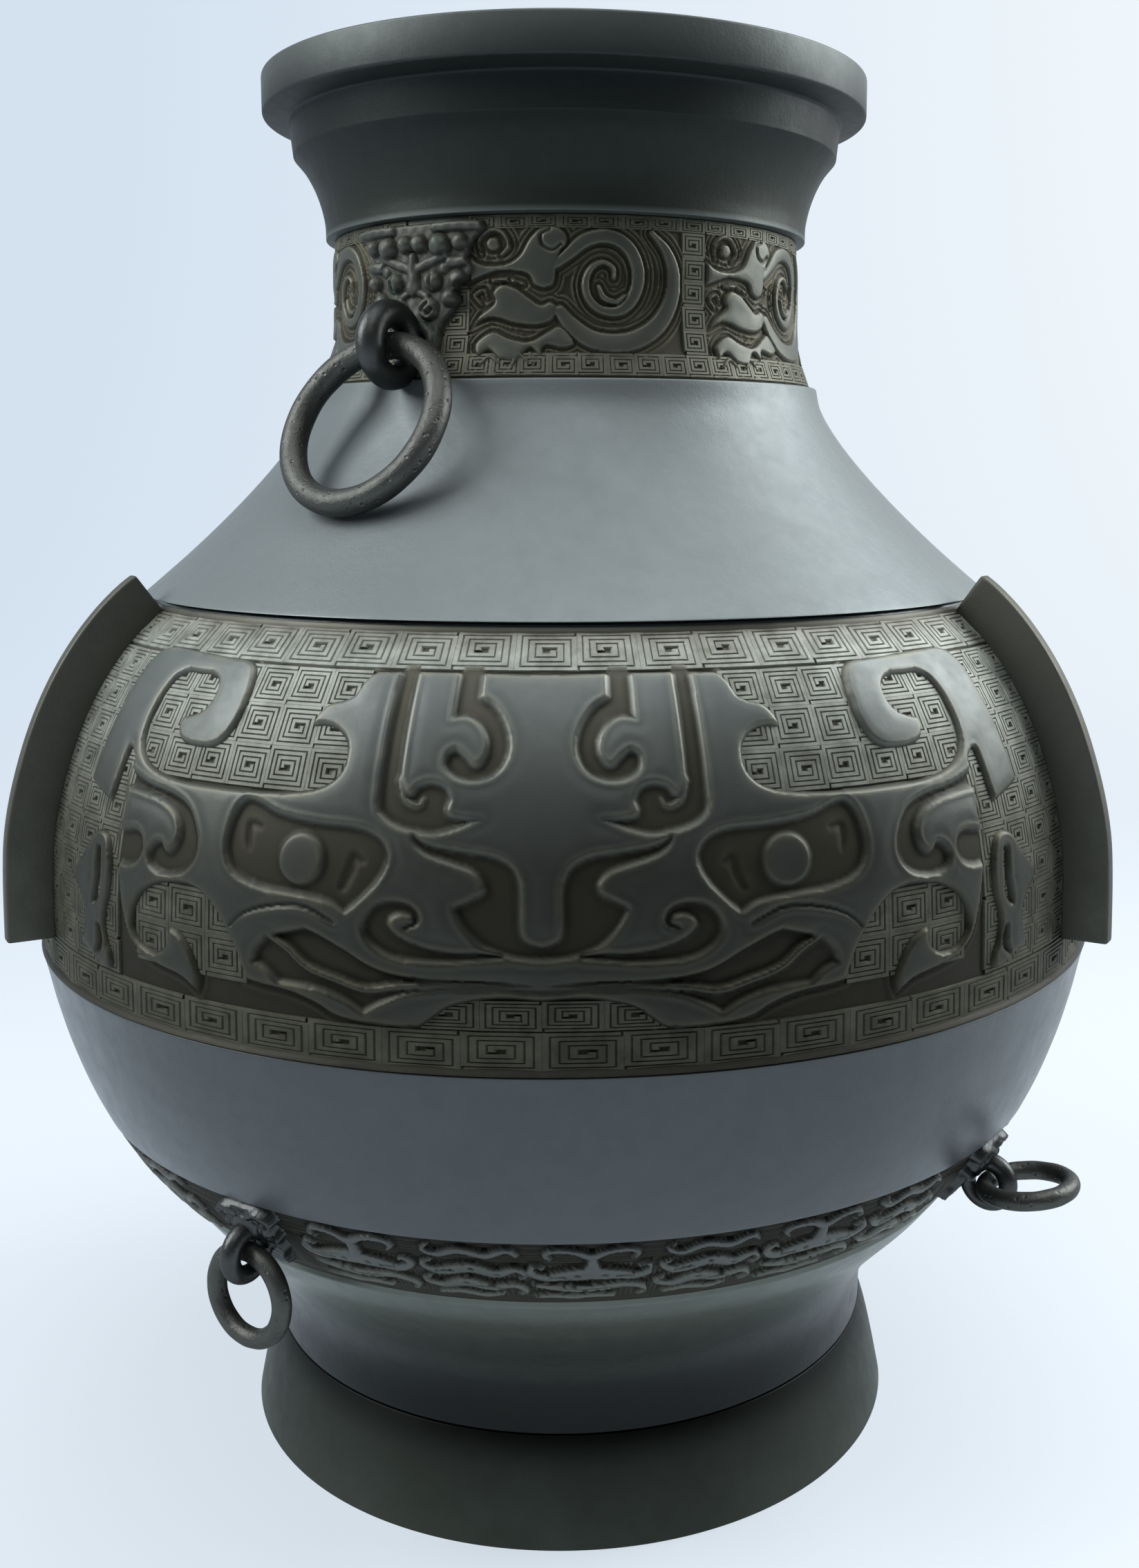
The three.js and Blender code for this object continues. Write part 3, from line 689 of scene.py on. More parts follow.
# %% Foot ring
# Its wall is even up to the bend, then it runs in to the ledge that carries the base plate.
FOOT_EDGE, BEND_Z = 5.0, 10.0
LEDGE_RADIUS, LEDGE_FOOT_Z, LEDGE_TOP_Z = 78.8, 19.65, 23.65
SEAT_RADIUS, FOOT_SPIGOT_RADIUS, FOOT_SPIGOT_TOP_Z = 83.8, 87.3, 36.6
foot_radius = skirt_zone.radius(skirt_zone.foot)
foot_outline = np.vstack([
    skin_run(skirt_zone),
    [(foot_radius - FOOT_EDGE, 0), (skirt_zone.radius(BEND_Z) - FOOT_EDGE, BEND_Z),
     (LEDGE_RADIUS, LEDGE_FOOT_Z), (LEDGE_RADIUS, LEDGE_TOP_Z), (SEAT_RADIUS, LEDGE_TOP_Z),
     (SEAT_RADIUS, FOOT_SPIGOT_TOP_Z), (FOOT_SPIGOT_RADIUS, FOOT_SPIGOT_TOP_Z),
     (FOOT_SPIGOT_RADIUS, skirt_zone.top)],
])
foot_casting = turned("foot_casting", rounded(foot_outline, EDGE), foot_bronze)

# %% [markdown]
# ## The main band: an animal mask over square spirals
# Three masks fill the band between the flanges, each with a broad face, two horns that curl, two almond
# eyes and a jaw. One half of the mask is drawn, and the other is its mirror image. The face is a plateau
# that swells softly towards its middle, its features are channels in it, and a faint lip runs along each
# channel. A single line follows the face's edge over the ground, and a low border runs along the band.

# %% The face's plateau
# Points are arc from the mask's middle and height. A point that is given twice is a corner.
FACE = [
    (-8, 242.8), (-8, 242.8), (46, 242.8), (50, 240.3), (51.5, 237.6), (54, 236.4), (57.5, 235.6),
    (60.3, 233.4), (61.5, 231), (61.2, 229.3), (61.2, 229.3), (57, 229.6), (53, 228.6), (50.4, 226),
    (50.2, 222), (52.5, 218.8), (58, 216.7), (70, 215.6), (90, 215.4), (102, 215.8), (112, 217.8),
    (117, 221.2),
    (118.6, 226), (118.2, 232), (116.6, 236.2), (113, 238.4), (107, 238.6), (101, 238.4), (98, 236.9),
    (97.3, 234.3), (98.8, 231.8), (102.5, 230.4), (106.4, 229.6), (106.4, 229.6), (106.2, 226.2),
    (104.2, 223.8), (100.5, 222.6), (95, 222.3), (90, 222.9), (86.4, 225.2), (84.2, 229), (83.4, 233.5),
    (84, 238.4), (86, 242), (90, 243.5), (100, 243.9), (120, 244.6), (128, 244.6), (133, 243.2),
    (136, 239.8), (137.2, 234), (138.4, 224), (140, 209.5), (140, 209.5), (133, 207.6), (125.4, 205.6),
    (125.4, 205.6), (124.2, 212), (123.2, 219.4), (123.2, 219.4), (120.4, 217),
    (119.2, 205), (118.6, 195), (116.8, 187), (115.2, 181), (112.3, 175), (107.5, 171.4), (100, 169.6),
    (92, 168.2), (87, 165.3), (87, 165.3), (85.7, 169.5), (87, 174), (90, 178.4), (94, 180.8), (98.4, 181.3),
    (98.4, 181.3), (97.2, 179), (98.2, 176.2), (102, 174.2), (107, 175.4), (110, 179), (109, 183.3),
    (105, 187.6), (98, 190.3), (88, 190.5), (82, 187), (76.5, 180), (72.3, 171), (72.3, 171), (68, 170.3),
    (60, 169.6), (53, 167.6), (48, 165.2), (40, 164.1), (28, 164.2), (25, 166), (20, 169.4), (10, 171.4),
    (0, 171), (-8, 171), (-8, 171),
]
SIDE_BEAST = [
    (121.5, 196), (124, 199.3), (128, 200.2), (132, 198.6), (134.8, 195), (137.5, 191.8), (141.2, 188.6),
    (141.4, 184.6), (138, 182), (135.4, 178), (135.8, 173), (138.6, 169.6), (135, 168.2), (130, 166.4),
    (125, 164.8), (120.6, 165.4), (120.4, 169.6), (123, 174), (122.8, 179.6), (120.8, 185), (120.2, 191),
]

# %% The channels in the face
# A stroke's points also give its half width.
BROW_HOOK = [
    (16, 247), (16, 247), (23.3, 247), (23.3, 247), (23.3, 232.2), (23.3, 232.2), (19.8, 232.8),
    (16.4, 231.4), (14.2, 228.4), (14.2, 225.4), (16.2, 223.2), (18.6, 225), (21.4, 226.6),
    (23.8, 225.2), (24, 222.2),
    (20.4, 219.6), (15, 219.2), (10, 221.4), (7.6, 226), (8.6, 231), (12, 235.4), (16, 237.6), (16, 237.6),
]
BROW_STRIP = [
    (33.8, 247), (33.8, 247), (39.7, 247), (39.7, 247), (39.8, 217), (39.2, 212.4), (36, 209.7), (30, 208),
    (25, 207.6), (19.5, 209), (13.5, 211.6), (13.5, 211.6), (18.6, 211.9), (21.7, 212.8), (21.2, 215.6),
    (22.8, 218.4), (26.4, 219.5), (29.8, 218.6), (31.8, 216.8), (33.8, 220), (33.8, 220),
]
BROW_CURL = [(34.4, 219.5, 1.4), (33.2, 216, 1.5), (31.2, 214.2, 1.3), (28.9, 214.1, 1.1), (28.1, 215.6, 0.9)]
EYE = [
    (35, 203), (37.4, 207), (43, 209.2), (54, 209.7), (65, 211), (71, 213), (75, 213.4), (78, 210.6),
    (79.6, 204.6), (79, 199.6), (76, 195.8), (69, 193.4), (59, 192.6), (50, 191.6), (45.4, 189.2),
    (45.4, 189.2), (41, 193), (36.6, 198),
]
PUPIL = (57.6, 201, 6.7)
EYE_PITS = [
    [(42.2, 201.5, 1.3), (44, 202.4, 1.6), (45, 199, 1.9), (46.6, 195.6, 1.7)],
    [(70.2, 207.2, 1.1), (73.2, 207.4, 1.5), (73.4, 204.4, 1.5), (72.8, 202, 1.0)],
]
NOSE = [
    (-8, 180.3), (-8, 180.3), (0, 180.3), (6, 180.8), (11, 182.2), (13.6, 183.6), (17, 186.8), (19.2, 190),
    (20, 192.6), (17.4, 194.2), (13.4, 196.6), (15.4, 199.6), (20, 201.2), (27, 203.4), (30.2, 206.2),
    (31, 209.6), (31, 209.6), (27, 206.6), (19, 205.2), (10.5, 204), (6, 201.4), (4.2, 197), (4.1, 188),
    (3.2, 185.6), (0, 184.5), (-8, 184.5), (-8, 184.5),
]
CHEEK_CURL = [
    (9, 181.7, 1.1), (14, 181.6, 1.3), (20, 181.2, 1.6), (27, 181.6, 2.2), (34, 183.4, 3.1), (37.8, 187, 3.6),
    (36.4, 190.4, 2.9), (32.4, 191.8, 2.0), (29, 190.8, 1.5), (28.4, 188.8, 1.2), (30.6, 187.6, 0.9),
]
MOUTH = [
    (-8, 175.4), (-8, 175.4), (0, 175.5), (8, 176.4), (20, 176.5), (30, 176.8), (38, 178.4), (45, 181.8),
    (51, 184.6), (55.4, 186.1), (55.4, 186.1), (60, 184.8), (65.6, 183.2), (65.6, 183.2), (60.5, 180.6),
    (55, 176.6), (47, 174.2), (40, 172.6), (33, 173.8), (22, 174.8), (8, 174.8), (-8, 174.4), (-8, 174.4),
]
LIP = [
    (-8, 173), (-8, 173), (0, 173), (10, 173.8), (22, 173.6), (32, 171.6), (41, 166.9), (41, 166.9),
    (46, 169.6), (53, 171.4), (62.8, 171.8), (62.8, 171.8), (66, 174.4), (70, 176), (70, 176), (69, 179.6),
    (65.6, 183.2), (65.6, 183.2), (60.5, 180.6), (55, 176.6), (47, 174.2), (40, 172.6), (33, 173.8),
    (22, 174.8), (8, 174.8), (-8, 174.4), (-8, 174.4),
]
JAW_FOLD = [(48, 187.6, 0.7), (56, 190.6, 0.9), (64, 190, 0.9), (72, 187.4, 0.8), (76, 184, 0.6)]
EAR = [
    (123.2, 220.5), (123.2, 220.5), (121, 217), (116, 214.8), (109, 213.3), (99, 212), (92.5, 209.4),
    (88.4, 204), (87.6, 199), (90, 195), (94.5, 192.8), (100, 192.4), (104.2, 194), (105.4, 197),
    (103.8, 199.8),
    (100.8, 200.8), (98.4, 198.8), (96.2, 200.2), (95.4, 203.6), (98, 207.2), (104, 209.4), (112, 210.2),
    (118.2, 210.6), (118.2, 210.6), (119, 204), (118.4, 201.6), (112, 202.4), (108.4, 201), (107.2, 197.4),
    (109.2, 194), (113.6, 192.4), (119.2, 192.6), (119.2, 192.6), (121.4, 200),
]
BEAST_HOLES = [
    [(127.4, 194.6, 1.6), (126.6, 189, 2.0), (127.2, 184.4, 2.2), (128.6, 181.4, 1.3)],
    [(126.4, 175.4, 1.1), (125.8, 171.4, 1.7), (127.6, 168.6, 1.0)],
]
BEAST_EYE = (130.4, 187.4, 1.7)

# %% Heights of the main band
MAIN_REFERENCE = 158.0
MAIN_CELL = 0.58
GROUND = -2.2
RIDGE_TOP = -1.5
FACE_TOP = -0.55
CHANNEL = -1.75
DEEP = -2.3
LIP_RISE = 0.16
LIP_PLACE, LIP_SPREAD = 0.55, 0.45
EDGE_WIDTH = 1.6
RAISED_DROP = 0.1
SWELLS = ((12, 0.2), (4, 0.15))
BORDER_RISE, BORDER_WIDTH = 1.3, 1.6
PUPIL_RISE, PUPIL_EDGE = 1.0, 1.5
LINE_RISE, LINE_EDGE = 0.4, 0.4
LINE_FROM_FACE, LINE_WIDTH = 1.0, 1.9
UNDER_ALL = 9
MAIN_HIGHEST = -0.2
FLANGE_ARC = math.radians(60) * MAIN_REFERENCE


def carved(face, channels, deep, raised, ground, top, channel, deepest):
    """Height of a relief from the distances to its face, channels, pits and what stands up in them."""
    height = ground + (top - ground) * slope_up(face, EDGE_WIDTH)
    lip = np.exp(-(((channels + LIP_PLACE) / LIP_SPREAD) ** 2)) * slope_up(face, EDGE_WIDTH)
    height = height + LIP_RISE * lip
    height = height + (channel - height) * slope_up(channels, EDGE_WIDTH)
    height = height + (deepest - height) * slope_up(deep, EDGE_WIDTH)
    return height + (top - RAISED_DROP - height) * slope_up(raised, EDGE_WIDTH)


def main_band_half():
    """Field and height of half a mask, from its middle to the flange."""
    s = np.linspace(0, main_zone.length, int(main_zone.length / MAIN_CELL) + 1)
    u = np.linspace(0, FLANGE_ARC, int(FLANGE_ARC / MAIN_CELL) + 1)
    field = Field(u, s, main_zone.along)
    face = union(field.outline(FACE), field.outline(SIDE_BEAST))
    channels = union(
        *[field.outline(o) for o in (BROW_HOOK, BROW_STRIP, EYE, NOSE, LIP, EAR)],
        field.stroke(CHEEK_CURL), field.stroke(JAW_FOLD), *[field.stroke(h) for h in BEAST_HOLES],
    )
    deep = union(field.outline(MOUTH), *[field.stroke(p) for p in EYE_PITS])
    raised = union(field.disc(*BEAST_EYE), field.stroke(BROW_CURL))
    height = carved(face, channels, deep, raised, GROUND, FACE_TOP, CHANNEL, DEEP)
    inner = np.minimum(face, -channels)
    for width, rise in SWELLS:
        height = height + rise * slope_up(inner, width)
    pupil = field.disc(*PUPIL)
    height = np.maximum(height, CHANNEL + PUPIL_RISE * slope_up(pupil, PUPIL_EDGE) - UNDER_ALL * (pupil < 0))
    line = following(face, LINE_FROM_FACE, LINE_WIDTH, 1)
    height = height + LINE_RISE * line * slope_up(-face, LINE_EDGE)
    from_edge = np.minimum(s, main_zone.length - s)[:, None]
    height = np.maximum(height, GROUND + BORDER_RISE * np.exp(-((from_edge / BORDER_WIDTH) ** 2)))
    edges = [(d, w) for d in (face, channels, deep, raised) for w in (0.0, EDGE_WIDTH)]
    return field, np.minimum(height, MAIN_HIGHEST), edges


field, height, edges = main_band_half()
print("main band sheet:", height.shape, "heights", round(height.min(), 2), round(height.max(), 2))

# %% Three masks from six halves
FRONT_MASK = -15.0
MASK_CENTRES = [FRONT_MASK + turn for turn in (0, 120, 240)]
main_panels = []
for number, centre in enumerate(MASK_CENTRES, 1):
    for side, flipped in (("right", False), ("left", True)):
        main_panels.append(relief_shell(
            f"main_band_{number}_{side}", main_zone, MAIN_REFERENCE, centre, field, height, edges,
            MAIN_BACK, relief_bronze, flipped,
        ))
print("main band panels:", len(main_panels), "with", len(main_panels[0].data.polygons), "faces each")

# %% [markdown]
# ## Square spirals
# The ground of every band is filled with square spirals, each a single ridge wound into a rectangle. Such a
# ridge is modelled once and Geometry Nodes lay it out on an even grid, every second one turned by half a
# turn. The flat result is made a mesh and then bent onto the bronze, which keeps the ridges one height.

# %% One square spiral
# The ridge's section is its reach to each side, as a share of its width, and its height.
RIDGE_SHARE = 0.56
RIDGE_SECTION = ((-1.25, 0.0), (-0.55, 1.0), (0.55, 1.0), (1.25, 0.0))
CELL_MARGIN = 0.35
WIDE_TURNS, NARROW_TURNS = 4, 3


def square_spiral(name, turns):
    """A ridge that winds inwards, in a cell from -0.5 to 0.5 each way, 1 high at its top."""
    pitch = 0.5 / (turns + CELL_MARGIN)
    edge = 0.5 - pitch * CELL_MARGIN
    x0, x1, y0, y1 = -edge, edge, -edge, edge
    path = [(x0, y0)]
    for turn in range(turns):
        path += [(x1, y0), (x1, y1), (x0, y1)]
        x0, x1, y0, y1 = x0 + pitch, x1 - pitch, y0 + pitch, y1 - pitch
        path.append((x0 - pitch, y0))
        path.append((x0, y0))
    path = [p for i, p in enumerate(path) if i == 0 or p != path[i - 1]]
    path = np.array(path[:-1])
    run = np.diff(path, axis=0)
    run /= np.abs(run).sum(axis=1, keepdims=True)
    square = np.column_stack([-run[:, 1], run[:, 0]])
    ahead, behind = np.vstack([square, square[-1:]]), np.vstack([square[:1], square])
    out = np.where(np.abs(ahead - behind).sum(axis=1, keepdims=True) < 1e-6, ahead, ahead + behind)
    rings = []
    for reach, high in RIDGE_SECTION:
        rings.append(np.column_stack([path + out * RIDGE_SHARE * pitch * reach, np.full(len(path), high)]))
    points = np.stack(rings, axis=1)
    n = len(path)
    grid = np.arange(n * 4).reshape(n, 4)
    around = np.column_stack([grid, grid[:, 0]])
    faces = np.stack([around[:-1, :-1], around[:-1, 1:], around[1:, 1:], around[1:, :-1]], -1).reshape(-1, 4)
    faces = faces.tolist() + [grid[0, ::-1].tolist(), grid[-1].tolist()]
    mesh = bpy.data.meshes.new(name)
    mesh.from_pydata(points.reshape(-1, 3).tolist(), [], faces)
    made = bpy.data.objects.new(name, mesh)
    bpy.context.scene.collection.objects.link(made)
    return made


spiral_units = {turns: square_spiral(f"square_spiral_{turns}_turns", turns)
                for turns in (WIDE_TURNS, NARROW_TURNS)}
print("spirals:", {turns: len(unit.data.polygons) for turns, unit in spiral_units.items()}, "faces")

# %% The layout as a node tree
def spiral_layout():
    """A group that lays a unit out on a grid of cells and turns every second one."""
    tree = bpy.data.node_groups.new("rows of square spirals", "GeometryNodeTree")
    tree.interface.new_socket("Geometry", in_out="OUTPUT", socket_type="NodeSocketGeometry")
    for title, kind in (
        ("Columns", "NodeSocketInt"), ("Rows", "NodeSocketInt"), ("Cell width", "NodeSocketFloat"),
        ("Cell height", "NodeSocketFloat"), ("Ridge height", "NodeSocketFloat"),
        ("Unit", "NodeSocketObject"), ("Finish", "NodeSocketMaterial"),
    ):
        tree.interface.new_socket(title, in_out="INPUT", socket_type=kind)
    given = tree.nodes.new("NodeGroupInput").outputs
    width = maths(tree, "MULTIPLY", maths(tree, "SUBTRACT", given["Columns"], 1), given["Cell width"])
    depth = maths(tree, "MULTIPLY", maths(tree, "SUBTRACT", given["Rows"], 1), given["Cell height"])
    grid = node(tree, "GeometryNodeMeshGrid", Size_X=width, Size_Y=depth, Vertices_X=given["Columns"],
                Vertices_Y=given["Rows"])
    index = tree.nodes.new("GeometryNodeInputIndex").outputs[0]
    half_turn = maths(tree, "MULTIPLY", maths(tree, "MODULO", index, 2), math.pi)
    turn = node(tree, "ShaderNodeCombineXYZ", Z=half_turn).outputs[0]
    size = node(tree, "ShaderNodeCombineXYZ", X=given["Cell width"], Y=given["Cell height"],
                Z=given["Ridge height"]).outputs[0]
    unit = node(tree, "GeometryNodeObjectInfo", Object=given["Unit"]).outputs["Geometry"]
    laid = node(tree, "GeometryNodeInstanceOnPoints", Points=grid.outputs["Mesh"], Instance=unit,
                Rotation=turn, Scale=size)
    real = node(tree, "GeometryNodeRealizeInstances", Geometry=laid.outputs["Instances"])
    done = node(tree, "GeometryNodeSetMaterial", Geometry=real.outputs["Geometry"], Material=given["Finish"])
    out = tree.nodes.new("NodeGroupOutput")
    tree.links.new(done.outputs["Geometry"], out.inputs["Geometry"])
    return tree


layout = spiral_layout()
print("inputs:", [item.name for item in layout.interface.items_tree if item.in_out == "INPUT"])

# %% Flat rows, laid out and read back
def flat_rows(columns, rows, cell_width, cell_height, ridge, turns):
    """Corners and faces of rows of spirals on a plane, in millimetres."""
    carrier = bpy.data.objects.new("spiral rows", bpy.data.meshes.new("spiral rows"))
    bpy.context.scene.collection.objects.link(carrier)
    modifier = carrier.modifiers.new("rows", "NODES")
    modifier.node_group = layout
    values = {"Columns": columns, "Rows": rows, "Cell width": cell_width, "Cell height": cell_height,
              "Ridge height": ridge, "Unit": spiral_units[turns], "Finish": ridge_bronze}
    for item in layout.interface.items_tree:
        if item.in_out == "INPUT":
            modifier[item.identifier] = values[item.name]
    carrier.update_tag()
    graph = bpy.context.evaluated_depsgraph_get()
    mesh = bpy.data.meshes.new_from_object(carrier.evaluated_get(graph))
    carrier.modifiers.remove(modifier)
    bpy.data.objects.remove(carrier)
    places = np.zeros(len(mesh.vertices) * 3)
    mesh.vertices.foreach_get("co", places)
    faces = [list(face.vertices) for face in mesh.polygons]
    bpy.data.meshes.remove(mesh)
    return places.reshape(-1, 3), faces


# %% Rows bent onto the bronze
RIDGE_SUNK = 0.05
RIDGE_ANGLE = 40


def spiral_piece(name, zone, reference, ground, ridge, turns, finish, blocks):
    """Rows of spirals bent onto a zone, as one piece with pale crests, partly worn and partly a painted
    highlight, and dark flanks, partly dust and partly painted shade.

    A block is its first azimuth, top and foot height, columns, rows and the cell's width.
    """
    points, faces, crest, start = [], [], [], 0
    for azimuth, top, foot, columns, rows, cell_width in blocks:
        s0, s1 = zone.along(top), zone.along(foot)
        flat, quads = flat_rows(columns, rows, cell_width, (s1 - s0) / rows, ridge, turns)
        across = flat[:, 0] + columns * cell_width / 2
        radius, z = zone.place((s0 + s1) / 2 - flat[:, 1], ground - RIDGE_SUNK + flat[:, 2])
        points.append(round_about(radius, z, math.radians(azimuth) + across / reference))
        crest.append(np.clip(flat[:, 2] / ridge, 0, 1))
        faces += [[v + start for v in face] for face in quads]
        start += len(flat)
    crest = np.concatenate(crest)
    # Ridge tops take the paler crest colour and the flanks the darker hollow colour: partly wear and dust,
    # partly painted highlight and shade.
    values = {"level": crest, "crest": crest, "hollow": 1 - crest}
    return make_piece(name, np.vstack(points), faces, finish, values, smooth_below=RIDGE_ANGLE)


# %% Spirals of the main band
# First arc, top height, foot height, columns, rows and the cell's width.
MAIN_ROWS = [
    (-FLANGE_ARC, 251.4, 243.3, 19, 1, FLANGE_ARC / 9.5),
    (-FLANGE_ARC, 164.2, 155.4, 18, 1, FLANGE_ARC / 9),
    (47.5, 242.6, 215.6, 6, 3, 12.1),
    (-47.5 - 6 * 12.1, 242.6, 215.6, 6, 3, 12.1),
    (72, 191, 170.5, 3, 2, 12.6),
    (-72 - 3 * 12.6, 191, 170.5, 3, 2, 12.6),
    (118, 242.6, 164.8, 4, 9, 11.85),
    (-118 - 4 * 11.85, 242.6, 164.8, 4, 9, 11.85),
    (-28, 171.5, 164.6, 4, 1, 14),
]
for number, centre in enumerate(MASK_CENTRES, 1):
    blocks = [(centre + math.degrees(first / MAIN_REFERENCE), *rest) for first, *rest in MAIN_ROWS]
    rows = spiral_piece(f"main_spirals_{number}", main_zone, MAIN_REFERENCE, GROUND, RIDGE_TOP - GROUND,
                        WIDE_TURNS, ridge_bronze, blocks)
    main_panels.append(rows)
    print(rows.name, len(rows.data.polygons), "faces")

# %% [markdown]
# ## The neck band: dragons with coiled tails
# Three dragons stand in a row on each half of the neck, and each has an open mouth, a curled horn and a
# tail that winds into a double spiral. Fine lines follow the edges of each form over the ground. They come
# from the same distances as the edges, so they keep an even spacing, and squares of spirals fill the rest.

# %% One dragon, in millimetres of arc and height
DRAGON_HEAD = [
    (-24, 343.8), (-24, 343.8), (-20, 341.6), (-14, 341.4), (-10, 343.5), (-7.5, 347.5), (-4.5, 350.4),
    (-0.5, 351.1), (2.6, 349.4), (3.2, 346.5), (1.5, 344.2), (0.5, 341.5), (-0.5, 336), (-3, 334.5),
    (-6, 335.5), (-7.5, 338), (-11, 338.9), (-16, 339), (-20, 337.8), (-24, 336.5), (-24, 336.5),
]
DRAGON_BODY = [
    (-23.5, 325), (-23.5, 325), (-21, 328.5), (-17, 331.5), (-17.5, 334), (-15, 336.2), (-11, 335.5),
    (-7, 332.8), (-4, 331), (-1.5, 331.8), (0.5, 330), (-1, 326.6), (-4, 325.3), (-8, 325.2), (-12, 325.8),
    (-16, 327), (-19, 327),
]
DRAGON_LEG = [
    (-22, 321), (-17, 324.3), (-12, 322.4), (-7, 321.7), (-2, 324.3), (1, 325.6), (5, 321), (2, 319.3),
    (-3, 320), (-4, 317.2), (-7, 319.5), (-10, 316.4), (-15, 316.6), (-18, 319), (-21, 317.4),
]
TAIL = [
    (1, 329, 2.0), (4, 325.5, 2.5), (9, 322, 2.8), (15, 321, 2.9), (21, 322, 2.9), (27.5, 326, 2.8),
    (31.5, 332, 2.6), (32.4, 339, 2.3), (30.3, 345, 1.8), (26, 349.6, 1.1),
]
TAIL_COIL = [
    (0, 341, 1.6), (3.5, 343.8, 2.0), (7.5, 347, 2.3), (12, 348.3, 2.3), (16.5, 347.5, 2.3), (20, 344.7, 2.2),
    (22, 340, 2.2), (21.8, 335.5, 2.1), (19.8, 331.6, 2.0), (16.5, 329.2, 1.8), (12, 329.4, 1.6),
    (8.8, 332, 1.5), (7.7, 336, 1.4), (9.2, 340, 1.2), (12.5, 341.6, 1.1), (15.3, 340, 1.0),
    (15.4, 337.6, 0.8),
]
INNER_HOOK = [(11.3, 335.4, 0.9), (12.6, 332.6, 1.2), (16, 331.6, 1.1), (18.4, 333.2, 0.8)]
HORN_CURL = [(1.2, 346.2, 0.7), (-0.9, 344.7, 0.7), (-3.6, 346, 0.7), (-3.9, 348.8, 0.7), (-1.6, 350, 0.6)]
EYE_RING = [(-20.4, 344, 0.8), (-21, 347.6, 0.8), (-18, 350, 0.9), (-14.6, 349.4, 0.9), (-12.6, 346, 0.9),
            (-14.6, 343.6, 0.7)]
DRAGON_EYE = (-17, 346.4, 2.2)
TEETH = [[(-17, 337, 0.8), (-13.4, 337.3, 0.9)], [(-11.6, 336.9, 0.9), (-8.6, 336, 0.7)]]
CLAWS = [[(-20, 315.4, 0.8), (-17.5, 317.6, 0.9), (-14.6, 315.6, 0.7)],
         [(-11.4, 315.4, 0.8), (-9.4, 317.8, 0.9), (-7.2, 316, 0.7)]]
JAW_CURL = [(-20.6, 331, 0.7), (-22.4, 333.4, 0.8), (-19.8, 334.6, 0.7), (-18.8, 332.6, 0.6)]

# %% The sheet of one dragon
NECK_REFERENCE = 70.0
NECK_CELL = 0.36
DRAGON_PITCH = 66.5
DRAGON_START = -24.0
NECK_GROUND, NECK_TOP = -1.3, -0.2
NECK_RIDGE = 0.6
NECK_SWELL, NECK_SWELL_WIDTH = 0.15, 2.6
FORM_EDGE, LINE_SIDE, GROOVE_EDGE = 0.8, 0.3, 0.5
GROOVE_DEPTH = 0.6
NECK_LINES = (0.85, 1.15, 2)
BORDER_LINES_Z, BORDER_LINE_HALF = (neck_zone.top - 0.5, 317.3, 312.9), 0.35


def neck_section_sheet():
    """Field and height of one dragon with the lines that follow it and the band's border lines."""
    s = np.linspace(0, neck_zone.length, int(neck_zone.length / NECK_CELL) + 1)
    u = np.linspace(DRAGON_START, DRAGON_START + DRAGON_PITCH, int(DRAGON_PITCH / NECK_CELL) + 1)
    field = Field(u, s, neck_zone.along)
    forms = union(
        *[field.outline(o) for o in (DRAGON_HEAD, DRAGON_BODY, DRAGON_LEG)],
        *[field.stroke(o) for o in (TAIL, TAIL_COIL, INNER_HOOK, EYE_RING, JAW_CURL, *TEETH, *CLAWS)],
        field.disc(*DRAGON_EYE),
    )
    grooves = field.stroke(HORN_CURL)
    rise = NECK_TOP - NECK_GROUND
    height = NECK_GROUND + rise * slope_up(forms, FORM_EDGE) + NECK_SWELL * slope_up(forms, NECK_SWELL_WIDTH)
    height = height + NECK_RIDGE * following(forms, *NECK_LINES) * slope_up(-forms, LINE_SIDE)
    height = height - GROOVE_DEPTH * slope_up(grooves, GROOVE_EDGE)
    z = np.interp(s, neck_zone.arc, neck_zone.heights)[:, None] + 0 * forms
    for edge in BORDER_LINES_Z:
        line = np.exp(-(((z - edge) / BORDER_LINE_HALF) ** 2))
        height = np.maximum(height, NECK_GROUND + NECK_RIDGE * line)
    edges = [(forms, 0.0), (forms, FORM_EDGE)]
    return field, height, edges


field, height, edges = neck_section_sheet()
print("dragon sheet:", height.shape)
neck_panels = []
for half in (0, 180):
    for number in range(3):
        centre = FRONT_MASK + half + math.degrees(number * DRAGON_PITCH / NECK_REFERENCE)
        neck_panels.append(relief_shell(
            f"neck_band_{half}_{number + 1}", neck_zone, NECK_REFERENCE, centre, field, height, edges,
            NECK_BACK, relief_bronze,
        ))

# %% The plain ground under the two neck masks
UNEVEN = 0.02
UNDER_MASK = math.pi * NECK_REFERENCE - 3 * DRAGON_PITCH
s = np.linspace(0, neck_zone.length, 40)
u = np.linspace(-UNDER_MASK, 0, 30)
plain = Field(u, s, neck_zone.along)
flat = np.full((len(s), len(u)), NECK_GROUND) + UNEVEN * np.sin(s[:, None] * 2)
for half in (0, 180):
    centre = FRONT_MASK + half + math.degrees(DRAGON_START / NECK_REFERENCE)
    neck_panels.append(relief_shell(
        f"neck_ground_{half}", neck_zone, NECK_REFERENCE, centre, plain, flat, [], NECK_BACK, relief_bronze,
    ))

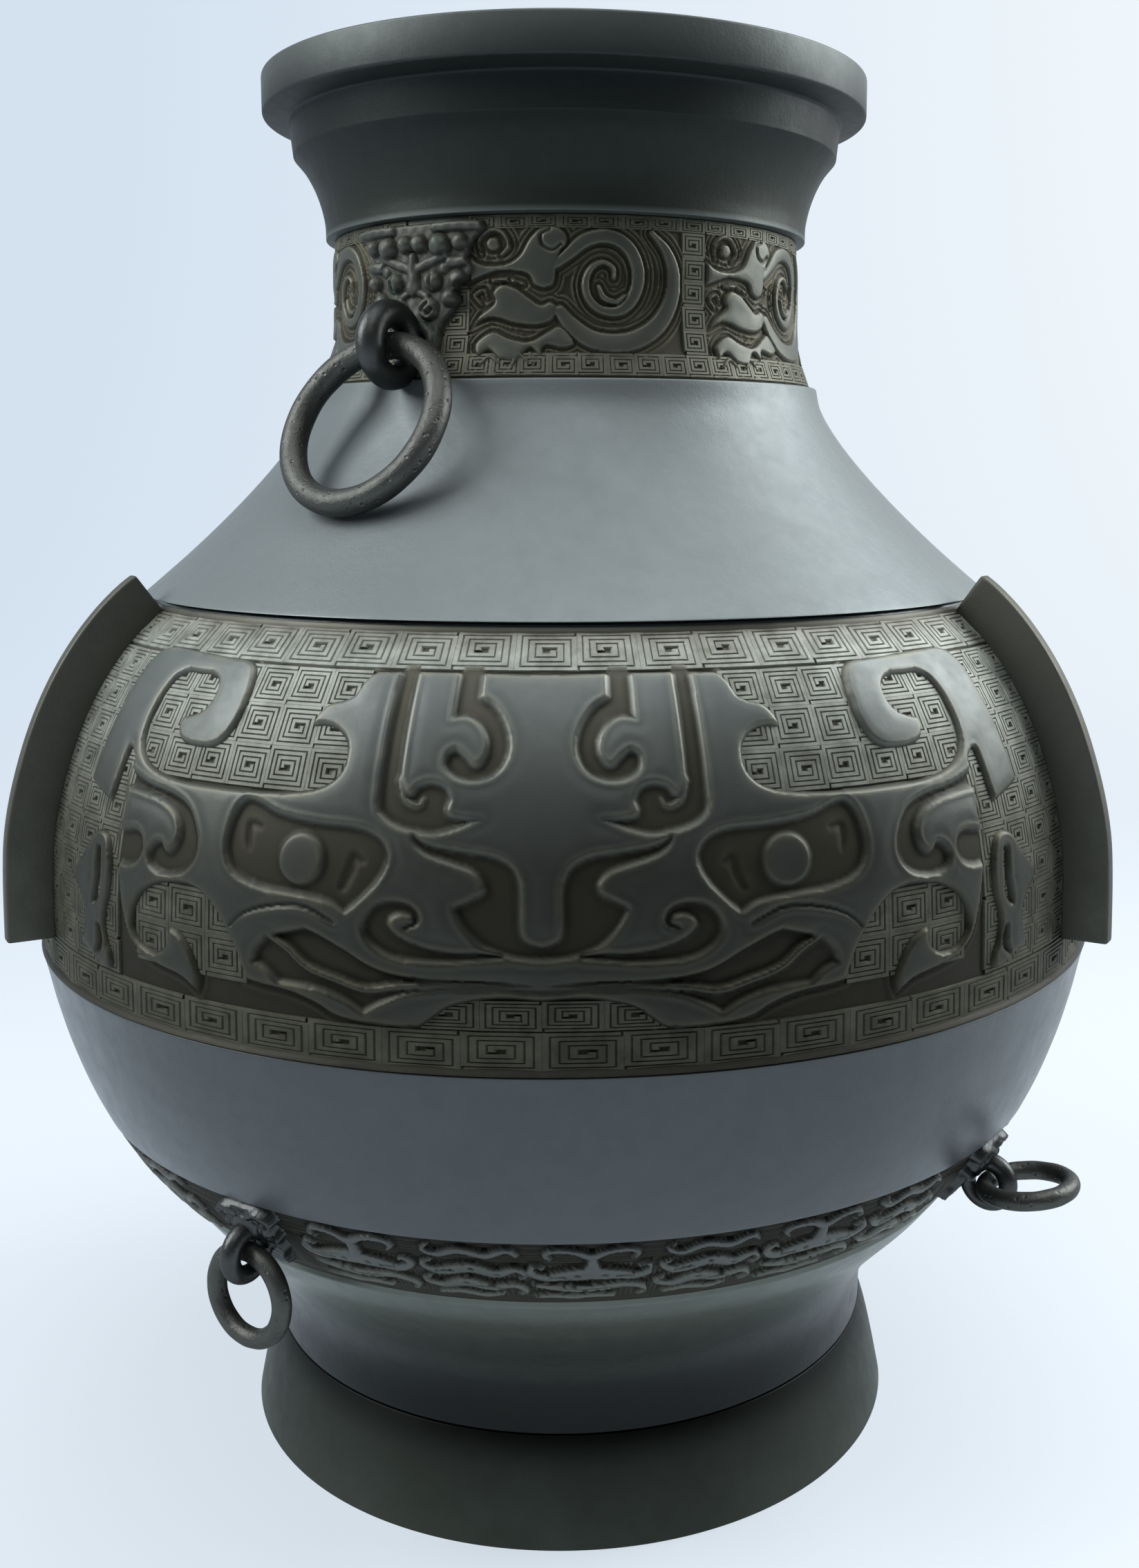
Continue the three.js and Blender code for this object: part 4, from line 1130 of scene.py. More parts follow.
# %% Spirals of the neck band
NECK_ROWS = [
    (DRAGON_START, 353.9, 350.4, 8, 1, DRAGON_PITCH / 8),
    (DRAGON_START, 318.4, 312.6, 9, 1, DRAGON_PITCH / 9),
    (35.1, 350.2, 318.6, 1, 5, 7.3),
]
BESIDE_MASK = [
    (DRAGON_START - 14.4, 336, 312.6, 2, 4, 7.2),
    (DRAGON_START - UNDER_MASK - 0.5, 332, 312.6, 1, 3, 7.2),
]
blocks = []
for half in (0, 180):
    middle = FRONT_MASK + half
    for number in range(3):
        start = middle + math.degrees(number * DRAGON_PITCH / NECK_REFERENCE)
        blocks += [(start + math.degrees(first / NECK_REFERENCE), *rest) for first, *rest in NECK_ROWS]
    blocks += [(middle + math.degrees(first / NECK_REFERENCE), *rest) for first, *rest in BESIDE_MASK]
neck_panels.append(spiral_piece("neck_spirals", neck_zone, NECK_REFERENCE, NECK_GROUND, NECK_RIDGE,
                                NARROW_TURNS, neck_ridge_bronze, blocks))
print("neck band pieces:", len(neck_panels), "spirals", len(neck_panels[-1].data.polygons), "faces")

# %% [markdown]
# ## The lower band: flat beasts with curled horns
# The lowest band is cast flatter and more worn than the others. Two motifs take turns along it, and a fine
# comb of lines fills the ground between them. Both are drawn round their own middle, and one sheet covers
# a quarter of the band, with a small mask in it, from one mould joint to the next.

# %% The two motifs, round their own middle
HORNED_STROKES = [
    [(-9.4, 101.6, 0.6), (-10.7, 103.2, 0.8), (-8.6, 105.0, 1.0), (-4, 104.5, 1.0), (0, 102.8, 1.3),
     (4, 104.5, 1.0), (8.6, 105.0, 1.0), (10.7, 103.2, 0.8), (9.4, 101.6, 0.6)],
    [(0, 102.8, 1.3), (0.3, 99.6, 1.5), (0, 97, 2.4)],
    [(-11.2, 98.4, 0.6), (-13.2, 99.4, 0.8), (-14.2, 97.2, 1.2), (-11, 95.4, 1.5), (-6, 96.2, 2.0),
     (0, 96.6, 2.5), (6, 96.2, 2.0), (11, 95.4, 1.5), (14.2, 97.2, 1.2), (13.2, 99.4, 0.8),
     (11.2, 98.4, 0.6)],
    [(-13.8, 92.2, 0.7), (-9, 91.2, 1.3), (-3, 90.4, 1.4), (3, 90.8, 1.4), (8, 91.8, 1.3), (12.5, 90.4, 1.1),
     (13.8, 88.2, 0.8), (12, 87, 0.6)],
    [(-13.6, 86.9, 0.7), (-9, 87.4, 1.0), (-4, 86.9, 1.0), (1, 87.4, 1.0), (6, 87.1, 0.8)],
]
HORNED_CUTS = [(-3.2, 96.2, 0.8), (3.2, 96.2, 0.8), (0, 94.8, 0.6)]
HORNED_GROOVES = [[(-10, 95.9, 0.35), (-6.5, 95.8, 0.5)], [(6.5, 95.8, 0.5), (10, 95.9, 0.35)],
                  [(-7, 91.0, 0.4), (-1, 90.3, 0.5), (5, 91.1, 0.4)]]
SNOUT_STROKES = [
    [(-9.4, 105.2, 0.6), (-10.8, 103.6, 0.8), (-7.4, 102.4, 1.1), (-2, 104.2, 1.2), (4, 102.9, 1.2),
     (9, 104.8, 1.0), (11, 103, 0.7)],
    [(-9.4, 99.8, 0.6), (-11.8, 98.4, 0.9), (-8, 96.3, 1.6), (0, 98.2, 1.8), (6, 96.4, 1.6),
     (10.6, 98.2, 1.1), (12.8, 95.8, 0.8), (11, 94.4, 0.6)],
    [(-10.6, 93.6, 0.6), (-12.6, 92, 0.9), (-8, 90.4, 1.4), (-2, 92.4, 2.0), (4, 90.6, 1.5), (9.6, 91.8, 1.2),
     (12.4, 89.2, 0.9), (10.4, 87.6, 0.6)],
    [(-10, 87.0, 0.7), (-4, 88, 1.1), (2, 87, 1.0), (6.4, 87.8, 0.7)],
]
SNOUT_CUTS = [(-2, 92.6, 0.8), (0, 98.2, 0.8), (6, 96.4, 0.7)]
SNOUT_GROOVES = [[(-8.6, 96.5, 0.35), (-4.5, 97.2, 0.5)], [(1.5, 91.4, 0.45), (6, 90.9, 0.35)]]

# %% A quarter of the lower band
# The motifs' middles are arcs from the joint. The comb's lines lie along the band above the turn and stand
# upright below it.
LOWER_REFERENCE = 132.0
LOWER_CELL = 0.44
QUARTER = math.pi / 2 * LOWER_REFERENCE
LOWER_JOINT = -4.6
FULLER = 1.25
LOWER_GROUND, LOWER_TOP = -1.8, -0.35
LOWER_SWELL, LOWER_SWELL_WIDTH = 0.2, 2.0
SNOUTS, HORNED = (14.2, 71.2, 165.3), (42.9, 136.3, 193.3)
COMB_RISE, COMB_PITCH_ALONG, COMB_PITCH_ACROSS = 0.45, 1.15, 1.25
COMB_TURN_Z, COMB_FOOT_Z, COMB_TOP_Z = 99, 85.3, 106.9
COMB_FROM_FORM = 0.5
CUT_DEPTH = 0.1


def moved(line, by):
    """A stroke carried along the band, a little fuller than it is drawn."""
    return [(u + by, z, FULLER * half) for u, z, half in line]


def lower_quarter():
    """Field and height of a quarter of the band, with six motifs over the comb of lines."""
    band = low_zone.length - lower_band_start
    s = np.linspace(lower_band_start, low_zone.length, int(band / LOWER_CELL) + 1)
    u = np.linspace(0, QUARTER, int(QUARTER / LOWER_CELL) + 1)
    field = Field(u, s, low_zone.along)
    forms, cuts = [], []
    for places, strokes, grooves, dots in (
        (HORNED, HORNED_STROKES, HORNED_GROOVES, HORNED_CUTS),
        (SNOUTS, SNOUT_STROKES, SNOUT_GROOVES, SNOUT_CUTS),
    ):
        for by in places:
            forms += [field.stroke(moved(line, by)) for line in strokes]
            cuts += [field.stroke(moved(line, by)) for line in grooves]
            cuts += [field.disc(u0 + by, *rest) for u0, *rest in dots]
    forms, cuts = union(*forms), union(*cuts)
    rise = LOWER_TOP - LOWER_GROUND
    height = LOWER_GROUND + rise * slope_up(forms, FORM_EDGE)
    height = height + LOWER_SWELL * slope_up(forms, LOWER_SWELL_WIDTH)
    z = np.interp(s, low_zone.arc, low_zone.heights)[:, None] + 0 * forms
    along_band = np.cos(s[:, None] / COMB_PITCH_ALONG * 2 * math.pi)
    across_band = np.cos(u[None] / COMB_PITCH_ACROSS * 2 * math.pi)
    comb = np.where(z > COMB_TURN_Z, along_band, across_band)
    open_ground = slope_up(-forms, COMB_FROM_FORM) * ((z > COMB_FOOT_Z) & (z < COMB_TOP_Z))
    height = height + COMB_RISE * (0.5 + 0.5 * comb) * open_ground
    height = height - (height - LOWER_GROUND + CUT_DEPTH) * slope_up(cuts, FORM_EDGE)
    edges = [(motif, width) for motif in (forms, cuts) for width in (0.0, FORM_EDGE)]
    return field, height, edges


field, height, edges = lower_quarter()
print("quarter of the lower band:", height.shape, round(height.min(), 2), round(height.max(), 2))
lower_panels = [
    relief_shell(f"lower_band_{number + 1}", low_zone, LOWER_REFERENCE, LOWER_JOINT + 90 * number, field,
                 height, edges, LOWER_BACK, lower_bronze)
    for number in range(4)
]

# %% [markdown]
# ## The flanges
# A flange is a plain cast fin, square to the wall, whose outer edge follows the skin. Its faces are flat,
# its edges are worn round, and its ends are cut square to the skin. A cross-section with rounded corners
# is swept down the band, and the ends close with the same rounding, as a bevelled bar would.

# %% One flange from a swept section
FLANGE_DEPTH, FLANGE_HALF = 10.5, 2.5
FLANGE_TOP_Z, FLANGE_FOOT_Z = 251.4, 163.5
FLANGE_ROOT = -2.2
FLANGE_ROUND = 0.9
FLANGE_STEPS = 90
FLANGE_ANGLE = 50
FLANGE_ENDS = ((0.0, 0.55), (0.1, 0.8), (0.4, 0.95))


def flange(name, azimuth):
    """A fin at an azimuth, swept along the main band, with every edge rounded."""
    section = rounded(
        [(FLANGE_ROOT, -FLANGE_HALF), (FLANGE_DEPTH, -FLANGE_HALF), (FLANGE_DEPTH, FLANGE_HALF),
         (FLANGE_ROOT, FLANGE_HALF)], FLANGE_ROUND,
    )
    middle = np.array([(FLANGE_ROOT + FLANGE_DEPTH) / 2, 0])
    s0, s1 = main_zone.along(FLANGE_TOP_Z), main_zone.along(FLANGE_FOOT_Z)
    stations = [(s0 + inward, size) for inward, size in FLANGE_ENDS]
    stations += [(s, 1.0) for s in np.linspace(s0 + FLANGE_ROUND, s1 - FLANGE_ROUND, FLANGE_STEPS)]
    stations += [(s1 - inward, size) for inward, size in FLANGE_ENDS[::-1]]
    smallest = 1 - FLANGE_ENDS[0][1]
    rows = []
    for s, size in stations:
        inset = (1 - size) * FLANGE_ROUND / smallest
        reach = (section - middle) * (1 - inset / np.array([middle[0] - FLANGE_ROOT, FLANGE_HALF])) + middle
        radius, z = main_zone.place(np.full(len(reach), s), reach[:, 0])
        place = round_about(radius, z, math.radians(azimuth))
        across = np.array([math.cos(math.radians(azimuth)), math.sin(math.radians(azimuth)), 0])
        rows.append(place + reach[:, 1:] * across)
    points = np.vstack(rows)
    columns = len(section)
    faces = sheet_faces(len(rows), columns, closed=True).tolist()
    last = (len(rows) - 1) * columns
    faces += [list(range(columns))[::-1], list(range(last, last + columns))]
    return make_piece(name, points, faces, flange_bronze, smooth_below=FLANGE_ANGLE)


FLANGE_AZIMUTHS = {"flange_right": 45, "flange_back": 165, "flange_left": -75}
flanges = [flange(f"{name}_fin", azimuth) for name, azimuth in FLANGE_AZIMUTHS.items()]
print("flanges:", [len(f.data.polygons) for f in flanges])

# %% [markdown]
# ## The masks that hold the rings
# Each ring hangs from a small animal mask, cast on the wall. The mask is a thick plate with lumpy features:
# ears, brows, a nose and rows of round pellets. Its height is drawn like the bands' relief, and it sinks
# under the band round its outline. The loop grows out of its mouth as a closed, slightly flattened bar. In
# front of it the mask is hollowed, so that the ring's bar turns in the loop without touching.

# %% The hollow for the ring
RING_ROOM = 0.45


def room_for_ring(zone, s, fitting):
    """How high a mask may stand at each row, so that the ring's bar turns freely in front of it."""
    radius, z = zone.place(s)
    raised_radius, raised_z = zone.place(s, 1.0)
    out_r, out_z = raised_radius - radius, raised_z - z
    to_hinge_r, to_hinge_z = fitting["hinge"][0] - radius, fitting["hinge"][1] - z
    along = to_hinge_r * out_r + to_hinge_z * out_z
    aside = to_hinge_r * out_z - to_hinge_z * out_r
    keep = fitting["loop_bar"] + RING_ROOM
    reach = np.sqrt(np.maximum(keep**2 - aside**2, 0))
    return np.where(reach > 0, along - reach, np.inf)


# %% A mask's plate
PLATE_EDGE, PLATE_FOOT_EDGE = 1.3, 1.0
OUTLINE_MARGIN, SIDE_MARGIN = 0.3, 0.6
WORN_DEPTH, WORN_ACROSS, WORN_DOWN, WORN_SHIFT = 0.12, 1.7, 1.3, 0.3
PLATE_BACK = 0.4


def both_sides(shapes):
    """Strokes or spots on one side of a mask, and their mirror images."""
    out = []
    for shape in shapes:
        if isinstance(shape, list):
            out += [shape, [(-u, *rest) for u, *rest in shape]]
        else:
            out += [shape, (-shape[0], *shape[1:])]
    return out


def mask_plate(name, zone, reference, azimuth, fitting):
    """A mask as a shell over the skin, from its outline, spots and strokes."""
    top = fitting["top"]
    high_z, low_z = top + OUTLINE_MARGIN, top - fitting["outline"][-1][0] - OUTLINE_MARGIN
    s = np.arange(zone.along(high_z), zone.along(low_z), fitting["cell"])
    side = max(half for _, half in fitting["outline"]) + SIDE_MARGIN
    u = np.arange(-side, side, fitting["cell"])
    field = Field(u, s, zone.along)
    right = [(half, top - drop) for drop, half in fitting["outline"]]
    left = [(-half, z) for half, z in right[::-1]]
    plate = field.outline([right[0], *right, right[-1], left[0], *left, left[-1]])
    lift = fitting["thick"] * slope_up(plate, PLATE_EDGE)
    worn = np.sin(u[None] * WORN_ACROSS + WORN_SHIFT) * np.sin(s[:, None] * WORN_DOWN) * WORN_DEPTH
    lift = lift + worn * slope_up(plate, PLATE_EDGE)
    rise = np.zeros_like(lift)
    for u0, z0, radius, high in both_sides(fitting["spots"]):
        rise = np.maximum(rise, dome(field.disc(u0, z0, radius), radius, high))
    for line, high in fitting["strokes"]:
        for stroke in both_sides([line]):
            rise = np.maximum(rise, dome(field.stroke(stroke), max(p[2] for p in stroke), high))
    for line, deep in fitting["grooves"]:
        for stroke in both_sides([line]):
            rise = rise - dome(field.stroke(stroke), max(p[2] for p in stroke), deep)
    sunk = fitting["sunk"]
    height = sunk + (lift + rise - sunk) * slope_up(plate, PLATE_FOOT_EDGE)
    height = np.minimum(height, room_for_ring(zone, s, fitting)[:, None])
    edges = [(plate, 0.0), (plate, PLATE_FOOT_EDGE)]
    return relief_shell(name, zone, reference, azimuth, field, height, edges, sunk - PLATE_BACK,
                        fitting["finish"])


# %% The loop and the ring
def bar_ring(name, centre, out, up, radius, bar, material, shape, steps=96, sides=28):
    """A closed round bar about a centre. Out and up span its plane, and shape gives size and flatness."""
    out, up = np.array(out, float), np.array(up, float)
    across = np.cross(out, up)
    turn = np.arange(steps) / steps * 2 * math.pi
    around = np.arange(sides) / sides * 2 * math.pi
    tt, aa = np.meshgrid(turn, around, indexing="ij")
    size, squash = shape(tt, aa)
    ray = np.cos(tt)[..., None] * out + np.sin(tt)[..., None] * up
    reach = radius + bar * size * np.cos(aa)
    beside = (bar * size * squash * np.sin(aa))[..., None] * across
    points = np.array(centre) + ray * reach[..., None] + beside
    grid = np.arange(steps * sides).reshape(steps, sides)
    grid = np.vstack([grid, grid[:1]])
    grid = np.column_stack([grid, grid[:, :1]])
    faces = np.stack([grid[:-1, :-1], grid[1:, :-1], grid[1:, 1:], grid[:-1, 1:]], -1).reshape(-1, 4)
    return make_piece(name, points.reshape(-1, 3), faces, material)


FORGE_WAVES = 9
FORGE_DEPTH = 0.07
RING_STEPS = 144


def forged(seed, amount):
    """A round bar that a hammer has left a little uneven, never thicker than its measure."""
    rng = np.random.default_rng(seed)
    waves = [(rng.integers(2, 15), rng.integers(-3, 4), rng.uniform(0, 6.3), rng.uniform(0.3, 1))
             for _ in range(FORGE_WAVES)]
    total = sum(w[3] for w in waves)

    def shape(turn, around):
        bumps = sum(w * np.sin(a * turn + b * around + phase) for a, b, phase, w in waves) / total
        return 1 - amount * (0.5 + 0.5 * bumps), 1.0

    return shape


LOOP_SIZE, LOOP_SWELL, LOOP_BOW, LOOP_FLAT = 0.92, 0.08, 0.6, 0.98


def thick_in_front(turn, around):
    """A loop that is thickest at its outer bow, a little above the middle, and thin at the wall."""
    return LOOP_SIZE + LOOP_SWELL * np.cos(turn - LOOP_BOW), LOOP_FLAT


# %% The two kinds of fitting
# An outline is drop from the mask's top and half width. A spot is arc, height, radius and rise, and a
# stroke or a groove is a line of arc, height and half width with its rise or depth.
NECK_FITTING = {
    "zone": neck_zone, "reference": NECK_REFERENCE, "cell": 0.33, "top": 353.2, "thick": 1.0, "sunk": -1.9,
    "outline": [(0, 21), (3, 22), (6, 18.6), (9.6, 17), (12.5, 18.4), (15.5, 17), (18, 13.8), (21, 14.8),
                (24, 12.4), (28, 9), (32, 9), (38, 6)],
    "spots": [(2.3, 347.3, 2.4, 2.6), (8.7, 346.7, 3.0, 2.9), (14.6, 347.2, 2.2, 2.3),
              (6.4, 337.4, 2.7, 2.5), (14.1, 337.6, 2.4, 2.4), (11.6, 332.8, 2.4, 2.4),
              (5.0, 330.2, 3.1, 2.2), (9.8, 340.6, 1.5, 0.9)],
    "strokes": [
        ([(7.5, 351.3, 1.5), (14, 351.7, 1.7), (20, 351, 1.3)], 1.3), ([(0, 344, 1.3), (0, 336, 2.4)], 1.5),
        ([(1.5, 341, 1.3), (6, 342.6, 1.3), (10.5, 344, 1.0)], 1.0),
        ([(12, 342, 1.6), (17.6, 342.4, 1.2)], 1.2),
        ([(2, 334.6, 1.0), (4.4, 333.6, 1.0)], 0.8), ([(3, 325.5, 1.6), (5.5, 323, 1.4), (6, 319, 1.2)], 1.1),
    ],
    "grooves": [([(5.0, 331.6, 0.7), (3.6, 330, 0.7), (5.0, 328.6, 0.7), (6.4, 330, 0.7)], 0.9),
                ([(6.4, 339.2, 0.6), (6.4, 335.8, 0.6)], 0.8)],
    "hinge": (80.23, 320.3), "loop": 8.25, "loop_bar": 3.9, "finish": mask_bronze,
}
LOWER_FITTING = {
    "zone": low_zone, "reference": LOWER_REFERENCE, "cell": 0.3, "top": 107.3, "thick": 0.7, "sunk": -1.7,
    "outline": [(0, 5.5), (1.2, 8.2), (4, 9.6), (6.5, 7.6), (9, 9.2), (12, 7.2), (15, 6.8), (18, 4.6),
                (21, 4.0)],
    "spots": [(5.2, 100.8, 2.2, 1.6), (0.0, 100.5, 4.6, 2.4), (2.4, 96.4, 2.6, 1.8)],
    "strokes": [([(2, 104.6, 1.2), (6, 105.6, 1.3), (8.6, 103.6, 1.0)], 1.2),
                ([(3, 98, 0.9), (7.4, 98, 0.9), (8.6, 100, 0.7)], 0.8)],
    "grooves": [([(5.2, 101.9, 0.5), (5.2, 99.7, 0.5)], 0.6)],
    "hinge": (140.26, 93.8), "loop": 5.8, "loop_bar": 2.6, "finish": loop_bronze,
}

# %% Six fittings, and the places of their rings read from the CAD
def fitted(place, azimuth, fitting):
    """The plate and the loop of one mask."""
    turn = math.radians(azimuth)
    out = np.array([math.sin(turn), -math.cos(turn), 0])
    plate = mask_plate(f"{place}_plate", fitting["zone"], fitting["reference"], azimuth, fitting)
    radius, z = fitting["hinge"]
    loop = bar_ring(f"{place}_loop", out * radius + [0, 0, z], out, (0, 0, 1), fitting["loop"],
                    fitting["loop_bar"], loop_bronze, thick_in_front)
    return plate, loop


def hung_ring(name, seed):
    """A loose ring where the CAD ring hangs: its middle, its plane and its sizes are read from there."""
    places = np.unique(node_points(name).reshape(-1, 3).round(3), axis=0)
    centre = places.mean(axis=0)
    _, _, axes = np.linalg.svd(places - centre, full_matrices=False)
    away = np.abs((places - centre) @ axes[2])
    flat = np.linalg.norm((places - centre) @ axes[:2].T, axis=1)
    bar = away.max()
    radius = (flat.max() + flat.min()) / 2
    print(name, "radius", round(radius, 2), "bar", round(bar, 2))
    return bar_ring(f"{name}_bar", centre, axes[0], axes[1], radius, bar, ring_bronze,
                    forged(seed, FORGE_DEPTH), steps=RING_STEPS)


mask_places = {"neck_mask_front": (-48, NECK_FITTING), "neck_mask_back": (132, NECK_FITTING),
               "lower_mask_front_left": (-48, LOWER_FITTING), "lower_mask_front_right": (42, LOWER_FITTING),
               "lower_mask_back_right": (132, LOWER_FITTING), "lower_mask_back_left": (222, LOWER_FITTING)}
masks = {name: fitted(name, *rest) for name, rest in mask_places.items()}
ring_names = sorted(name for name in NODES if "ring" in name)
rings = {name: hung_ring(name, number) for number, name in enumerate(ring_names)}
print("masks:", {name: len(plate.data.polygons) for name, (plate, _) in masks.items()})

# %% [markdown]
# ## Each piece moves with its body
# The castings and their relief are one rigid vessel. The six rings swing, so each one rides on a body of
# its own. A piece that stands for a CAD solid replaces it, and the solid is kept, hidden.

# %% The castings, the relief and their bodies
for unit in spiral_units.values():
    bpy.data.objects.remove(unit)
for piece, solid, slot in (
    (neck_casting, "neck_section", "bronze"),
    (belly_casting, "belly", "bronze"),
    (foot_casting, "foot", "dark_bronze"),
):
    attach(piece, "vessel")
    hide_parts(solid)
for piece in main_panels + neck_panels + lower_panels:
    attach(piece, "vessel")
for piece in flanges:
    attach(piece, "vessel")
    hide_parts(piece.name.replace("_fin", ""))
for name, (plate, loop) in masks.items():
    for piece in (plate, loop):
        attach(piece, "vessel")
    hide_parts(name)
for name, piece in rings.items():
    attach(piece, name)
    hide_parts(name)

# %% Finishes of the CAD solids that stay
for name, solid in NODES.items():
    finish = flange_bronze
    if "ring" in name:
        finish = ring_bronze
    elif name in ("base_plate", "foot"):
        finish = foot_bronze
    solid.data.materials.clear()
    solid.data.materials.append(finish)

# %% [markdown]
# ## A plain pale studio
# The vase stands on a pale sweep, a floor that curves up into a wall, so that no edge shows behind it from
# the front. Two soft lights stand at the sides and two weaker ones hang above. The room behind the camera is
# dim, which is why the bronze that faces the camera looks darker than its sides. The background is pale
# through its own colour and not through more light: the camera, mirrored and transmitted rays see the paper
# glow, and the light that it throws back onto the vase stays that of a grey sheet.

# %% Floor and wall in one sheet
# From here on all places are in metres.
SWEEP_HALF_WIDTH, SWEEP_HEIGHT = 4.0, 4.0
SWEEP_FRONT, SWEEP_BEND_START, SWEEP_BEND = 3.0, 1.6, 1.5
VIEW_TURN = math.radians(-12.7)
BEND_STEPS = 24


def studio_sweep():
    """The floor and the wall behind it, turned to face the camera."""
    depth = [(-SWEEP_FRONT, 0.0), (SWEEP_BEND_START, 0.0)]
    for i in range(1, BEND_STEPS + 1):
        angle = i / BEND_STEPS * math.pi / 2
        depth.append((SWEEP_BEND_START + SWEEP_BEND * math.sin(angle), SWEEP_BEND * (1 - math.cos(angle))))
    depth.append((SWEEP_BEND_START + SWEEP_BEND, SWEEP_HEIGHT))
    sheet = []
    for y, z in depth:
        for x in (-SWEEP_HALF_WIDTH, SWEEP_HALF_WIDTH):
            sheet.append((x * math.cos(VIEW_TURN) - y * math.sin(VIEW_TURN),
                          x * math.sin(VIEW_TURN) + y * math.cos(VIEW_TURN), z))
    mesh = bpy.data.meshes.new("studio sweep")
    faces = [(2 * i, 2 * i + 1, 2 * i + 3, 2 * i + 2) for i in range(len(depth) - 1)]
    mesh.from_pydata(sheet, [], faces)
    mesh.polygons.foreach_set("use_smooth", np.ones(len(faces), bool))
    sweep = bpy.data.objects.new("studio_sweep", mesh)
    bpy.context.scene.collection.objects.link(sweep)
    return sweep


sweep = studio_sweep()
print("sweep:", len(sweep.data.polygons), "faces")

# %% Its paper
PAPER_PALE = ((0.74, 0.8, 0.86), (0.8, 0.86, 0.91))
PAPER_LIT = (0.24, 0.26, 0.28)
GLOW_LEFT, GLOW_RIGHT = (0.66, 0.76, 0.87), (0.86, 0.92, 0.97)
GLOW_SPAN = (-0.9, 1.2)
FLOOR_GLOW, WALL_GLOW = 0.55, 1
FLOOR_TO_WALL = (-0.35, 0.9)
BEHIND = (-math.sin(VIEW_TURN), math.cos(VIEW_TURN), 0)
BESIDE = (math.cos(VIEW_TURN), math.sin(VIEW_TURN), 0)


def reach_along(tree, place, direction):
    """How far a place lies along a direction."""
    made = node(tree, "ShaderNodeVectorMath", {"operation": "DOT_PRODUCT"})
    made.inputs[1].default_value = direction
    tree.links.new(place, made.inputs[0])
    return made.outputs["Value"]


paper = bpy.data.materials.new("pale paper")
paper.use_nodes = True
sheet = paper.node_tree
sheet_place = node(sheet, "ShaderNodeTexCoord").outputs["Object"]
sheet_shade = noise(sheet, sheet_place, 0.8, 2)
rays = node(sheet, "ShaderNodeLightPath").outputs
seen = maths(sheet, "MAXIMUM", rays["Is Camera Ray"], maths(
    sheet, "MAXIMUM", rays["Is Glossy Ray"], rays["Is Transmission Ray"]))
pale = mixed(sheet, sheet_shade, *PAPER_PALE)
matt = sheet.nodes["Principled BSDF"]
sheet.links.new(mixed(sheet, seen, PAPER_LIT, pale), matt.inputs["Base Color"])
matt.inputs["Roughness"].default_value = 0.9
behind = reach_along(sheet, sheet_place, BEHIND)
glowing = ranged(sheet, behind, *FLOOR_TO_WALL, FLOOR_GLOW, WALL_GLOW)
# Left to right the glow goes from darker to paler, a painted fall of light across the paper.
to_right = ranged(sheet, reach_along(sheet, sheet_place, BESIDE), *GLOW_SPAN, 0, 1)
glow = node(sheet, "ShaderNodeEmission", Color=mixed(sheet, to_right, GLOW_LEFT, GLOW_RIGHT))
paper_mix = node(sheet, "ShaderNodeMixShader", Fac=maths(sheet, "MULTIPLY", glowing, seen))
sheet.links.new(matt.outputs["BSDF"], paper_mix.inputs[1])
sheet.links.new(glow.outputs["Emission"], paper_mix.inputs[2])
sheet.links.new(paper_mix.outputs["Shader"], sheet.nodes["Material Output"].inputs["Surface"])
sweep.data.materials.append(paper)
print("paper nodes:", len(sheet.nodes))

# %% Lamps
def soft_light(name, place, aim, width, height, power):
    """A rectangular white lamp at a place, in metres, aimed at a point."""
    lamp = bpy.data.lights.new(name, "AREA")
    lamp.shape = "RECTANGLE"
    lamp.size, lamp.size_y, lamp.energy = width, height, power
    holder = bpy.data.objects.new(name, lamp)
    run = np.array(aim, float) - np.array(place, float)
    holder.location = place
    pitch = math.atan2(math.hypot(run[0], run[1]), -run[2])
    holder.rotation_euler = (pitch, 0, math.atan2(run[1], run[0]) - math.pi / 2)
    bpy.context.scene.collection.objects.link(holder)
    return holder


